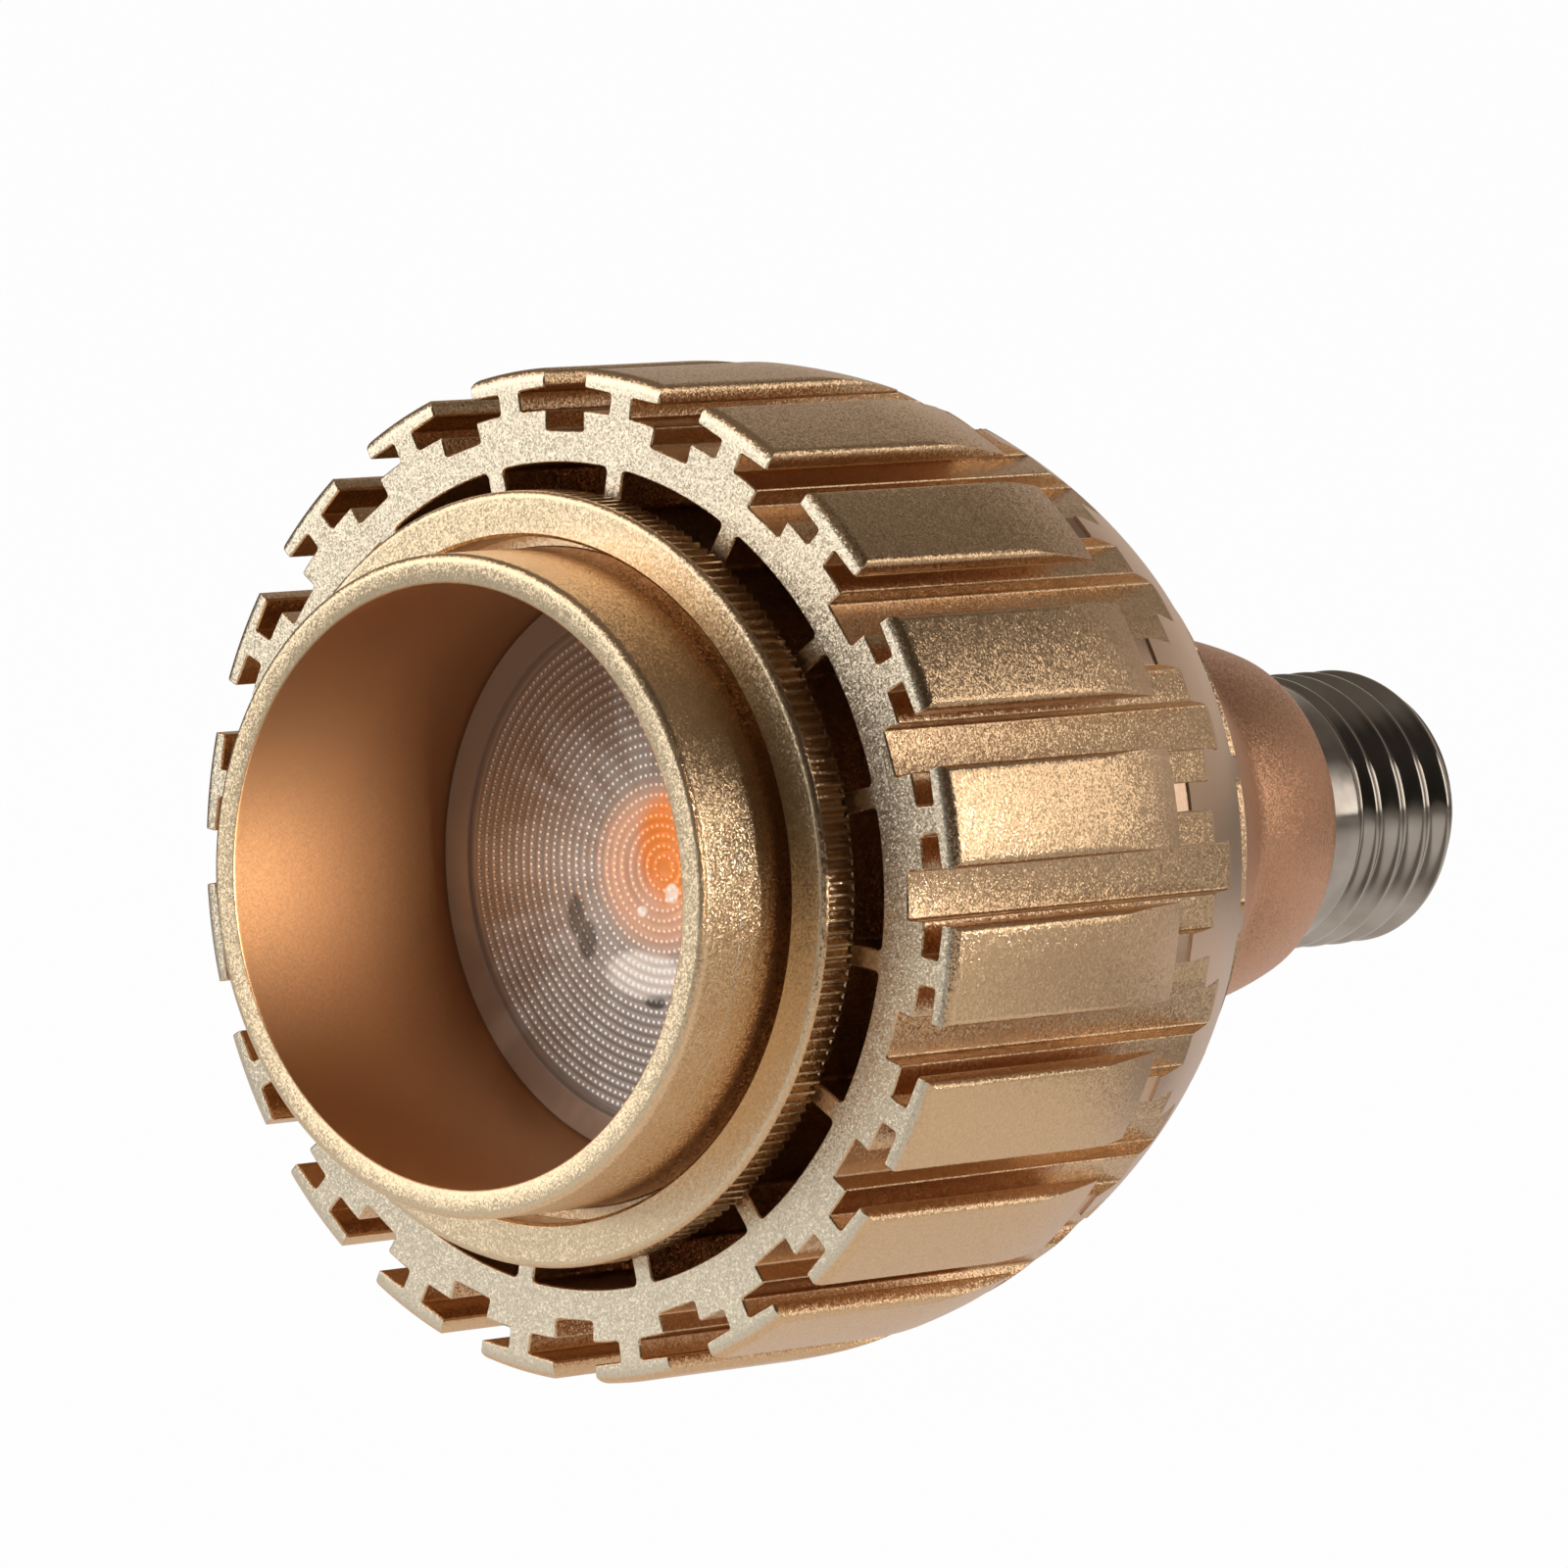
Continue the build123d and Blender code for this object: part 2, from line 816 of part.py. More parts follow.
def thread_outline():
    """Corners of the rolled thread: a rounded crest and a flat root in each pitch."""
    side = thread_crest_radius - thread_crest_drop
    corners = []
    for turn in range(thread_turns):
        crest = shell_start + thread_first_crest + turn * thread_pitch
        root = crest + thread_pitch / 2
        corners += [
            (side, crest - thread_crest_width / 2),
            (thread_crest_radius, crest),
            (side, crest + thread_crest_width / 2),
            (thread_root_radius, root - thread_root_width / 2),
            (thread_root_radius, root + thread_root_width / 2),
        ]
    return corners


def screw_shell():
    thread = thread_outline()
    inner_band = shell_band_radius - shell_thickness
    inner_thread = thread_root_radius - shell_thickness
    outline = [(inner_band, shell_start), (shell_band_radius, shell_start)]
    outline += [(shell_band_radius, thread[0][1] - thread_runout)]
    outline += thread
    outline += [
        (shell_shoulder_radius, shell_end),
        (shell_opening_radius, shell_end),
        (shell_opening_radius, shell_end - shell_thickness),
        (inner_thread, insulator_seat),
        (inner_thread, thread_start),
        (inner_band, thread_start),
    ]
    return turned(outline)


def cap_insulator():
    end = contact_tip - contact_height
    mouth = shell_opening_radius - insulator_clearance
    flange_radius = thread_root_radius - shell_thickness - insulator_clearance
    return turned([
        (contact_rivet_radius, insulator_seat - insulator_flange),
        (flange_radius, insulator_seat - insulator_flange),
        (flange_radius, insulator_seat - insulator_clearance),
        (mouth, insulator_seat + insulator_step),
        (mouth, shell_end),
        (insulator_tip_radius, end),
        (contact_rivet_radius, end),
    ])


def centre_contact():
    seat = contact_tip - contact_height
    return turned([
        (0, seat - contact_rivet_length),
        (contact_rivet_radius, seat - contact_rivet_length),
        (contact_rivet_radius, seat),
        (contact_radius, seat),
        (contact_radius, seat + contact_height / 2),
        (contact_radius - contact_height / 2, contact_tip),
        (0, contact_tip),
    ])


SUB_PARTS = [
    heat_sink,
    knurled_ring,
    ring_washer,
    ring_circlip,
    hood,
    lens,
    lens_gasket,
    guide_pins,
    led_plate,
    thermal_pad,
    led_board,
    led_dam,
    led_phosphor,
    led_holder,
    led_holder_screws,
    clamp_screws,
    insulation_disc,
    led_leads,
    neck_housing,
    driver_board,
    transformer,
    bulk_capacitor,
    film_capacitor,
    choke,
    bridge_rectifier,
    contact_lead,
    screw_shell,
    cap_insulator,
    centre_contact,
]


def main():
    os.makedirs("parts", exist_ok=True)
    for make in SUB_PARTS:
        shape = make()
        if isinstance(shape, list):
            shape = Compound(children=shape)
        export_step(shape, f"parts/{make.__name__}.step")


if __name__ == "__main__":
    main()
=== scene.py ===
import json
import math

import bpy
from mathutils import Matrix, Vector


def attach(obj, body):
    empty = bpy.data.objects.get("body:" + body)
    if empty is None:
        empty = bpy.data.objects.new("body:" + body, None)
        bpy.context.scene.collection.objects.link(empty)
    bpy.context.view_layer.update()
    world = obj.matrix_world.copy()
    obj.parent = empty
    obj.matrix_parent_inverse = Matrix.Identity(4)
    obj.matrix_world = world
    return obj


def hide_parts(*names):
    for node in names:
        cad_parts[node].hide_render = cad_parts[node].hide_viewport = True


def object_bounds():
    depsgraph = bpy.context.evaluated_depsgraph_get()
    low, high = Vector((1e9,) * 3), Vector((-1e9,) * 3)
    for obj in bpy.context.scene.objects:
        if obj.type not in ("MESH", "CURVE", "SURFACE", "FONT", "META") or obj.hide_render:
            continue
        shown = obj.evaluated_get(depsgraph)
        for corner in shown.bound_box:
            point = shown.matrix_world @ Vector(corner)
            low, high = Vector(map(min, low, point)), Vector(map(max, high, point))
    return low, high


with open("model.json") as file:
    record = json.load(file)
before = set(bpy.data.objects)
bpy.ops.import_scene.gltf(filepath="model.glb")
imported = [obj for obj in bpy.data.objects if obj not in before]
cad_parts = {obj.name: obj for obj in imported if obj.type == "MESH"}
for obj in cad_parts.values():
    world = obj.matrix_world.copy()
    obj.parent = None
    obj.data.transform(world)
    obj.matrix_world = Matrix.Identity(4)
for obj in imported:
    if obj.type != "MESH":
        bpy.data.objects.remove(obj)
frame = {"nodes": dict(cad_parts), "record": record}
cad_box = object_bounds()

# Sizes are in millimetres, and MM turns them into metres.
# Distances along the bulb's axis are given behind the heat sink's front face.
# Angles are in degrees, clockwise from the top as seen from the front.
MM = 0.001
FACE_Y = -117.6

DOME_START = 20.0
DOME_RADIUS = 57.0
BODY_RADIUS = 45.9
FIN_CAP_END = 32.6
RELIEF_RADIUS = 43.5
RELIEF_END = 35.6
BODY_END = 55.6
FIN_COUNT = 20
FIN_ANGLE = -9.7
CHANNEL_COUNT = 16
CHANNEL_ANGLE = -14.0
BORE_RADIUS = 31.9
KNURL_RADIUS = 35.0
KNURL_FLOOR = 34.45
KNURL_COUNT = 200
HOOD_FRONT = -15.3
HOOD_RADIUS = 29.8
HOOD_BORE_RADIUS = 27.1
LENS_FRONT = 12.62
HOLLOW_RADIUS = 4.8
HOLLOW_DEPTH = 0.4
BEAD_START = 12.57
BEAD_RADIUS = 0.25
BEAD_SPACING = 0.64
BEAD_RING_GAP = 0.93
BEAD_RINGS = [22.5 - BEAD_RING_GAP * ring for ring in range(24)]
THREAD_START = 97.3
THREAD_END = 113.0
THREAD_PITCH = 3.629
THREAD_FIRST_CREST = 99.2
THREAD_MIDDLE_RADIUS = 12.65
THREAD_HALF_HEIGHT = 0.55
SHELL_BAND_RADIUS = 12.95
MERGE_GAP = 0.01

# The scale mark on the hood: a line round part of the tube and a nought at its upper end.
# MARK_DISTANCE is in front of the heat sink's face. The two angles are in radians, up from +X.
MARK_DISTANCE = 10.4
LINE_HALF_SPAN = 0.36
NOUGHT_ANGLE = 0.122
NOUGHT_HALF_HEIGHT = 0.75
NOUGHT_HALF_WIDTH = 0.5


def back(distance):
    """Y, in metres, of a place this many millimetres behind the front face."""
    return (FACE_Y + distance) * MM


def dome(distance):
    """Radius of the heat sink's turned outline."""
    run = distance - DOME_START
    return BODY_RADIUS - DOME_RADIUS + math.sqrt(DOME_RADIUS ** 2 - run ** 2)


def spoke(angle, radial, across=0.0):
    """Place at a clock angle seen from the front: radial out, across to its clockwise side."""
    turn = math.radians(angle)
    return (
        radial * math.sin(turn) + across * math.cos(turn),
        radial * math.cos(turn) - across * math.sin(turn),
    )


def chord_height(radius, half_width):
    """How far out a circle is at this half width beside the line through its centre."""
    return math.sqrt(radius ** 2 - half_width ** 2)


def steps_between(start, end, count):
    return [start + (end - start) * index / count for index in range(count + 1)]


def rounded(radius, distance, size, steps=5):
    """Quarter-round front edge of a turned piece, whose square corner is at this radius and distance."""
    turns = steps_between(0, math.pi / 2, steps)
    return [
        (radius - size + size * math.sin(turn), distance + size - size * math.cos(turn))
        for turn in turns
    ]


# Modelling

def edit():
    bpy.ops.object.mode_set(mode="EDIT")
    bpy.ops.mesh.select_all(action="SELECT")


def settle(piece, smooth_angle=30):
    """Leave edit mode with the piece's place in its mesh and its faces smooth."""
    if bpy.context.mode != "OBJECT":
        bpy.ops.object.mode_set(mode="OBJECT")
    bpy.ops.object.transform_apply(location=True, rotation=True, scale=True)
    bpy.ops.object.shade_smooth_by_angle(angle=math.radians(smooth_angle))
    return piece


def tidy_mesh():
    bpy.ops.mesh.select_all(action="SELECT")
    bpy.ops.mesh.remove_doubles(threshold=0.002 * MM)
    bpy.ops.mesh.normals_make_consistent(inside=False)


def ring_outline(name, radius, distance, steps, filled=False):
    bpy.ops.object.select_all(action="DESELECT")
    bpy.ops.mesh.primitive_circle_add(
        vertices=steps,
        radius=radius * MM,
        fill_type="NGON" if filled else "NOTHING",
        location=(0, back(distance), 0),
        rotation=(math.pi / 2, 0, 0),
    )
    piece = bpy.context.object
    piece.name = name
    return piece


def draw_along(outline):
    """Extrude the selected ring through (radius, distance) places, one after the other."""
    for (radius, distance), (next_radius, next_distance) in zip(outline, outline[1:]):
        move = (0, (next_distance - distance) * MM, 0)
        bpy.ops.mesh.extrude_region_move(TRANSFORM_OT_translate={"value": move})
        grow = next_radius / radius
        centre = (0, back(next_distance), 0)
        bpy.ops.transform.resize(value=(grow, 1, grow), center_override=centre)


def turned(name, outline, steps=256, solid=False):
    """Piece turned on the axis. A solid one runs from end face to end face, others close on themselves."""
    piece = ring_outline(name, *outline[0], steps, filled=solid)
    edit()
    draw_along(outline if solid else outline + outline[:1])
    tidy_mesh()
    return settle(piece)


def traced(name, places, distance, closed=False):
    """Chain of edges drawn through (x, z) places, at one distance along the axis."""
    start_x, start_z = places[0]
    bpy.ops.object.select_all(action="DESELECT")
    bpy.ops.mesh.primitive_plane_add(
        size=MM, location=(start_x * MM, back(distance), start_z * MM)
    )
    piece = bpy.context.object
    piece.name = name
    edit()
    bpy.ops.mesh.merge(type="CENTER")
    chain = places + places[:1] if closed else places
    for (x, z), (next_x, next_z) in zip(chain, chain[1:]):
        move = ((next_x - x) * MM, 0, (next_z - z) * MM)
        bpy.ops.mesh.extrude_region_move(TRANSFORM_OT_translate={"value": move})
    bpy.ops.mesh.select_all(action="SELECT")
    bpy.ops.mesh.remove_doubles(threshold=0.002 * MM)
    bpy.ops.object.mode_set(mode="OBJECT")
    return piece


def select_corners(piece, corners):
    """Select the vertices that stand at these (x, z) places."""
    bpy.ops.mesh.select_all(action="DESELECT")
    bpy.ops.object.mode_set(mode="OBJECT")
    for vertex in piece.data.vertices:
        place = piece.matrix_world @ vertex.co
        near = [abs(place.x - x * MM) + abs(place.z - z * MM) < MERGE_GAP * MM for x, z in corners]
        vertex.select = any(near)
    bpy.ops.object.mode_set(mode="EDIT")


def copy_round(count):
    """Copy the selected part of the mesh round the axis."""
    bpy.ops.mesh.spin(steps=count, dupli=True, angle=2 * math.pi, center=(0, 0, 0), axis=(0, 1, 0))


def join(pieces):
    bpy.ops.object.select_all(action="DESELECT")
    for piece in pieces:
        piece.select_set(True)
    bpy.context.view_layer.objects.active = pieces[0]
    bpy.ops.object.join()
    return pieces[0]


# Heat sink

def fin_places(angle):
    """Outline of one fin, from the middle of the notch before it to the middle of the one after."""
    half_stem, half_cap, half_notch = 1.3, 4.55, 2.2
    land, notch, cap_under = 42.1, 40.2, 43.9
    before, after = angle - 180 / FIN_COUNT, angle + 180 / FIN_COUNT
    crown = [spoke(angle, chord_height(BODY_RADIUS, x), x) for x in steps_between(-half_cap, half_cap, 9)]
    land_start = before + math.degrees(math.asin(half_notch / land))
    land_end = angle - math.degrees(math.asin(half_stem / land))
    land_before = steps_between(land_start, land_end, 3)
    left = [
        spoke(before, notch),
        spoke(before, notch, half_notch),
        spoke(before, chord_height(land, half_notch), half_notch),
    ]
    left += [spoke(place, land) for place in land_before[1:-1]]
    left += [
        spoke(angle, chord_height(land, half_stem), -half_stem),
        spoke(angle, cap_under, -half_stem),
        spoke(angle, cap_under, -half_cap),
    ]
    right = [
        spoke(angle, cap_under, half_cap),
        spoke(angle, cap_under, half_stem),
        spoke(angle, chord_height(land, half_stem), half_stem),
    ]
    right += [spoke(2 * angle - place, land) for place in land_before[-2:0:-1]]
    right += [
        spoke(after, chord_height(land, half_notch), -half_notch),
        spoke(after, notch, -half_notch),
        spoke(after, notch),
    ]
    corners = [left[1], left[2], left[-3], left[-2], left[-1]]
    corners += [right[0], right[1], right[2], right[-3], right[-2]]
    return left + crown + right, corners, [crown[0], crown[-1]]


def fin_ring(distance):
    places, corners, crown_ends = fin_places(FIN_ANGLE)
    ring = traced("fins", places, distance)
    edit()
    select_corners(ring, corners)
    bpy.ops.mesh.bevel(offset=0.25 * MM, affect="VERTICES", segments=3)
    select_corners(ring, crown_ends)
    bpy.ops.mesh.bevel(offset=0.75 * MM, affect="VERTICES", segments=5)
    bpy.ops.mesh.select_all(action="SELECT")
    copy_round(FIN_COUNT)
    bpy.ops.mesh.select_all(action="SELECT")
    bpy.ops.mesh.remove_doubles(threshold=MERGE_GAP * MM)
    bpy.ops.object.mode_set(mode="OBJECT")
    return ring


def channel_ring(distance):
    """The air channels between the ribs, with rounded corners."""
    half_rib = 1.0
    start, end = CHANNEL_ANGLE, CHANNEL_ANGLE + 360 / CHANNEL_COUNT
    outer, inner = 37.3, 33.8
    outer_reach = math.degrees(math.asin(half_rib / outer))
    inner_reach = math.degrees(math.asin(half_rib / inner))
    outer_places = steps_between(start + outer_reach, end - outer_reach, 12)
    inner_places = steps_between(end - inner_reach, start + inner_reach, 12)
    outside = [spoke(place, outer) for place in outer_places]
    inside = [spoke(place, inner) for place in inner_places]
    ring = traced("channels", outside + inside, distance, closed=True)
    edit()
    select_corners(ring, [outside[0], outside[-1], inside[0], inside[-1]])
    bpy.ops.mesh.bevel(offset=0.45 * MM, affect="VERTICES", segments=4)
    bpy.ops.mesh.select_all(action="SELECT")
    copy_round(CHANNEL_COUNT)
    bpy.ops.mesh.select_all(action="SELECT")
    bpy.ops.mesh.remove_doubles(threshold=MERGE_GAP * MM)
    bpy.ops.object.mode_set(mode="OBJECT")
    return ring


def lathe_outline():
    """What the lathe leaves of the extrusion: chamfer, straight, dome, relief, flat end."""
    front = [(44.6, -1.0), (44.6, -0.02)] + rounded(BODY_RADIUS, 0.0, 1.2, 7)
    first = [(dome(place), place) for place in steps_between(DOME_START, FIN_CAP_END, 9)]
    relief = [(RELIEF_RADIUS, FIN_CAP_END + 0.02), (RELIEF_RADIUS, RELIEF_END)]
    second = [(dome(place), place) for place in steps_between(RELIEF_END + 0.02, BODY_END, 16)]
    return front + first + relief + second


def make_heat_sink():
    edge = 0.14
    fins = fin_ring(edge)
    channels = channel_ring(edge)
    bore = ring_outline("bore", BORE_RADIUS, edge, 180)
    sink = join([fins, channels, bore])
    sink.name = "heat_sink_fins"
    edit()
    bpy.ops.mesh.fill(use_beauty=True)
    bpy.ops.mesh.select_all(action="SELECT")
    bpy.ops.mesh.normals_make_consistent(inside=False)
    bpy.ops.mesh.extrude_region_move(TRANSFORM_OT_translate={"value": (0, BODY_END * MM, 0)})
    tidy_mesh()
    select_front_faces(sink, edge)
    bpy.ops.mesh.inset(thickness=edge * MM, depth=edge * MM)
    bpy.ops.object.mode_set(mode="OBJECT")
    lathe = turned("lathe", lathe_outline(), steps=300, solid=True)
    bpy.ops.object.select_all(action="DESELECT")
    sink.select_set(True)
    bpy.context.view_layer.objects.active = sink
    cut = sink.modifiers.new("turning", "BOOLEAN")
    cut.operation = "INTERSECT"
    cut.object = lathe
    cut.solver = "EXACT"
    bpy.ops.object.modifier_apply(modifier="turning")
    bpy.data.objects.remove(lathe)
    return settle(sink)


def select_front_faces(piece, distance):
    bpy.ops.mesh.select_all(action="DESELECT")
    bpy.ops.object.mode_set(mode="OBJECT")
    for face in piece.data.polygons:
        place = piece.matrix_world @ face.center
        face.select = abs(place.y - back(distance)) < MERGE_GAP * MM
    bpy.ops.object.mode_set(mode="EDIT")


# Ring, hood and lens

def make_knurled_ring():
    """Turned ring whose rim has 200 rolled grooves."""
    outline = [
        (31.2, -5.2),
        (34.3, -5.2),
        *rounded(KNURL_RADIUS, -5.2, 0.6, 5),
        (KNURL_RADIUS, -4.2),
        (KNURL_RADIUS, -1.1),
        (34.8, -0.85),
        (33.6, -0.85),
        (33.6, -0.4),
        (31.84, -0.4),
        (31.84, 8.6),
        (29.86, 8.6),
        (29.86, -1.0),
        (30.9, -1.0),
        (30.9, -4.9),
    ]
    columns = 4 * KNURL_COUNT
    ring = turned("ring", outline, steps=columns)
    bpy.ops.object.mode_set(mode="EDIT")
    bpy.ops.mesh.select_all(action="DESELECT")
    bpy.ops.object.mode_set(mode="OBJECT")
    step = 2 * math.pi / columns
    knurl_front, knurl_back, knurl_inside = -4.3, -0.7, 34.5
    for vertex in ring.data.vertices:
        behind = vertex.co.y / MM - FACE_Y
        radius = math.hypot(vertex.co.x, vertex.co.z) / MM
        column = round(math.atan2(vertex.co.x, vertex.co.z) / step) % 4
        on_rim = knurl_front < behind < knurl_back and radius > knurl_inside
        vertex.select = on_rim and column in (0, 1)
    bpy.ops.object.mode_set(mode="EDIT")
    grow = KNURL_FLOOR / KNURL_RADIUS
    bpy.ops.transform.resize(value=(grow, 1, grow), center_override=(0, 0, 0))
    return settle(ring)


def make_hood():
    """Tube with a rounded rim, a shoulder that stops it in the ring and a seat for the lens."""
    outline = [
        (27.35, HOOD_FRONT),
        (28.95, HOOD_FRONT),
        *rounded(HOOD_RADIUS, HOOD_FRONT, 0.75, 6),
        (HOOD_RADIUS, -14.3),
        (HOOD_RADIUS, 9.2),
        (31.6, 9.2),
        (31.6, 12.2),
        (28.9, 12.2),
        (28.9, 15.9),
        (25.4, 15.9),
        (25.4, 14.4),
        (HOOD_BORE_RADIUS, 14.4),
        (HOOD_BORE_RADIUS, -15.05),
        (27.17, -15.23),
    ]
    return turned("hood_tube", outline)


def lens_front(radius):
    """Distance of the lens's front at this radius: flat, with a shallow hollow in the middle."""
    if radius >= HOLLOW_RADIUS:
        return LENS_FRONT
    return LENS_FRONT + HOLLOW_DEPTH * (1 - (radius / HOLLOW_RADIUS) ** 2)


def make_lens():
    """Clear disc with a hollow in the middle, low ridges under the beads, a plain flange and a rear cone."""
    ridges = [(0.3, lens_front(0))]
    for radius in reversed(BEAD_RINGS):
        front = lens_front(radius)
        ridges += [
            (radius - 0.34, front),
            (radius - 0.14, front - 0.06),
            (radius + 0.14, front - 0.06),
            (radius + 0.34, front),
        ]
    outline = [
        (23.1, LENS_FRONT),
        (23.2, 12.95),
        (24.0, 12.95),
        (24.1, 12.6),
        (26.8, 12.6),
        (26.95, 12.75),
        (26.95, 14.0),
        (25.2, 14.0),
        (25.0, 15.9),
        (9.0, 30.5),
        (6.6, 30.5),
    ]
    return turned("lens_body", ridges + outline, solid=True)


def make_beads():
    """Small domes in rings on the lens, closer together round the ring than between rings."""
    bpy.ops.object.select_all(action="DESELECT")
    middle = (0, back(BEAD_START), 0)
    bpy.ops.mesh.primitive_uv_sphere_add(
        segments=8,
        ring_count=6,
        radius=BEAD_RADIUS * MM,
        location=middle,
        rotation=(math.pi / 2, 0, 0),
    )
    bead = bpy.context.object
    bead.name = "lens_beads"
    edit()
    bpy.ops.mesh.bisect(plane_co=middle, plane_no=(0, 1, 0), clear_outer=True)
    bpy.ops.mesh.select_all(action="SELECT")
    bpy.ops.transform.resize(value=(1, 0.5, 1), center_override=middle)
    bpy.ops.object.mode_set(mode="OBJECT")
    rings = []
    for radius in BEAD_RINGS:
        bpy.ops.object.select_all(action="DESELECT")
        bead.select_set(True)
        bpy.context.view_layer.objects.active = bead
        bpy.ops.object.duplicate()
        edit()
        sunk = lens_front(radius) - LENS_FRONT
        bpy.ops.transform.translate(value=(0, sunk * MM, radius * MM))
        copy_round(round(2 * math.pi * radius / BEAD_SPACING))
        bpy.ops.object.mode_set(mode="OBJECT")
        rings.append(bpy.context.object)
    bpy.data.objects.remove(bead)
    beads = join(rings)
    beads.name = "lens_beads"
    return settle(beads, 60)


# Neck and cap

def make_neck():
    cone = [(33.2, 55.62), (32.4, 56.4)]
    cone += [(32.4 - 10.8 * place, 56.4 + 14.6 * place) for place in steps_between(0.06, 1, 8)]
    throat = [(21.0, 71.9), (20.35, 72.9), (19.7, 73.9), (19.15, 74.8), (18.75, 75.5)]
    run, drop = 14.7, 2.15
    crown = (run ** 2 + drop ** 2) / (2 * drop)
    shoulder = [
        (18.5 - crown + math.sqrt(crown ** 2 - (place * run) ** 2), 75.9 + place * 13.9)
        for place in steps_between(0.02, 1, 14)
    ]
    lip = [(16.15, 90.05), (15.9, 90.2), (13.0, 90.2), (12.55, 90.25), (12.55, 92.0)]
    front = [(30.3, 48.0), (30.3, 55.62)]
    return turned("neck", front + cone + throat + shoulder + lip, solid=True)


def make_screw_shell():
    """Plain band, rolled thread and shoulder in one thin sheet."""
    start = 90.5
    band = [(12.6, start), (SHELL_BAND_RADIUS, start), (SHELL_BAND_RADIUS, start + 0.3)]
    band += [(SHELL_BAND_RADIUS, place) for place in steps_between(start + 3.0, 97.0, 2)]
    thread = [(THREAD_MIDDLE_RADIUS, place) for place in steps_between(THREAD_START, THREAD_END, 70)]
    shoulder = [
        (11.75, 113.3),
        (11.3, 113.6),
        (10.7, 113.8),
        (10.0, 113.88),
        (9.2, 113.88),
        (9.2, 113.5),
        (10.9, 113.3),
        (11.4, 112.5),
    ]
    inside = [(11.4, 98.0), (12.6, 97.6)]
    shell = turned("shell", band + thread + shoulder + inside, steps=180)
    for vertex in shell.data.vertices:
        place = vertex.co.y / MM - FACE_Y
        radius = math.hypot(vertex.co.x, vertex.co.z) / MM
        on_thread = THREAD_START - 0.05 <= place <= THREAD_END + 0.1
        if abs(radius - THREAD_MIDDLE_RADIUS) > 0.02 or not on_thread:
            continue
        turns = (place - THREAD_FIRST_CREST) / THREAD_PITCH
        clock = math.atan2(vertex.co.x, vertex.co.z)
        wave = THREAD_MIDDLE_RADIUS + THREAD_HALF_HEIGHT * math.cos(2 * math.pi * turns - clock)
        start_in = smooth_step(97.6, 99.1, place)
        end_out = smooth_step(111.4, THREAD_END, place)
        wanted = SHELL_BAND_RADIUS + (wave - SHELL_BAND_RADIUS) * start_in
        wanted += (12.0 - wanted) * end_out
        vertex.co.x *= wanted / radius
        vertex.co.z *= wanted / radius
    return settle(shell, 50)


def smooth_step(low, high, value):
    share = min(1.0, max(0.0, (value - low) / (high - low)))
    return share * share * (3 - 2 * share)


def make_insulator():
    outline = [
        (9.1, 112.0),
        (9.1, 113.9),
        (8.6, 114.3),
        (7.9, 114.4),
        (7.6, 114.9),
        (5.6, 116.2),
        (5.0, 116.4),
        (1.5, 116.4),
    ]
    return turned("insulator", outline, steps=128, solid=True)


def make_contact():
    outline = [
        (4.9, 116.38),
        (4.9, 116.85),
        (4.75, 117.1),
        (4.4, 117.3),
        (3.5, 117.35),
        (3.0, 117.5),
        (1.6, 117.6),
    ]
    return turned("contact", outline, steps=96, solid=True)


# Materials

class Shader:
    """Node tree, built node by node."""

    def __init__(self, owner, coordinates):
        owner.use_nodes = True
        self.nodes = owner.node_tree.nodes
        self.links = owner.node_tree.links
        self.place = self.nodes.new("ShaderNodeTexCoord").outputs[coordinates]

    def put(self, socket, value):
        if isinstance(value, bpy.types.NodeSocket):
            self.links.new(value, socket)
        else:
            socket.default_value = value

    def math(self, operation, first, second=0.0, third=0.0):
        node = self.nodes.new("ShaderNodeMath")
        node.operation = operation
        for socket, value in zip(node.inputs, (first, second, third)):
            self.put(socket, value)
        return node.outputs[0]

    def ramp(self, value, low, high, start=0.0, end=1.0):
        """Smooth change from start to end as the value goes from low to high."""
        node = self.nodes.new("ShaderNodeMapRange")
        node.interpolation_type = "SMOOTHSTEP"
        for name, number in (("From Min", low), ("From Max", high), ("To Min", start), ("To Max", end)):
            self.put(node.inputs[name], number)
        self.put(node.inputs["Value"], value)
        return node.outputs["Result"]

    def split(self, vector):
        node = self.nodes.new("ShaderNodeSeparateXYZ")
        self.put(node.inputs[0], vector)
        return node.outputs

    def noise(self, size, detail=2.0, place=None):
        """Noise whose features are about this many millimetres across."""
        node = self.nodes.new("ShaderNodeTexNoise")
        self.put(node.inputs["Vector"], place or self.place)
        self.put(node.inputs["Scale"], 1 / (size * MM))
        self.put(node.inputs["Detail"], detail)
        return node.outputs["Fac"]

    def mix(self, share, first, second):
        node = self.nodes.new("ShaderNodeMix")
        node.data_type = "RGBA"
        self.put(node.inputs["Factor"], share)
        self.put(node.inputs["A"], first)
        self.put(node.inputs["B"], second)
        return node.outputs["Result"]

    def shade(self, colour, share):
        """The colour, darkened by a share of 0 to 1."""
        node = self.nodes.new("ShaderNodeMix")
        node.data_type = "RGBA"
        node.blend_type = "MULTIPLY"
        self.put(node.inputs["Factor"], 1.0)
        self.put(node.inputs["A"], colour)
        self.put(node.inputs["B"], share)
        return node.outputs["Result"]


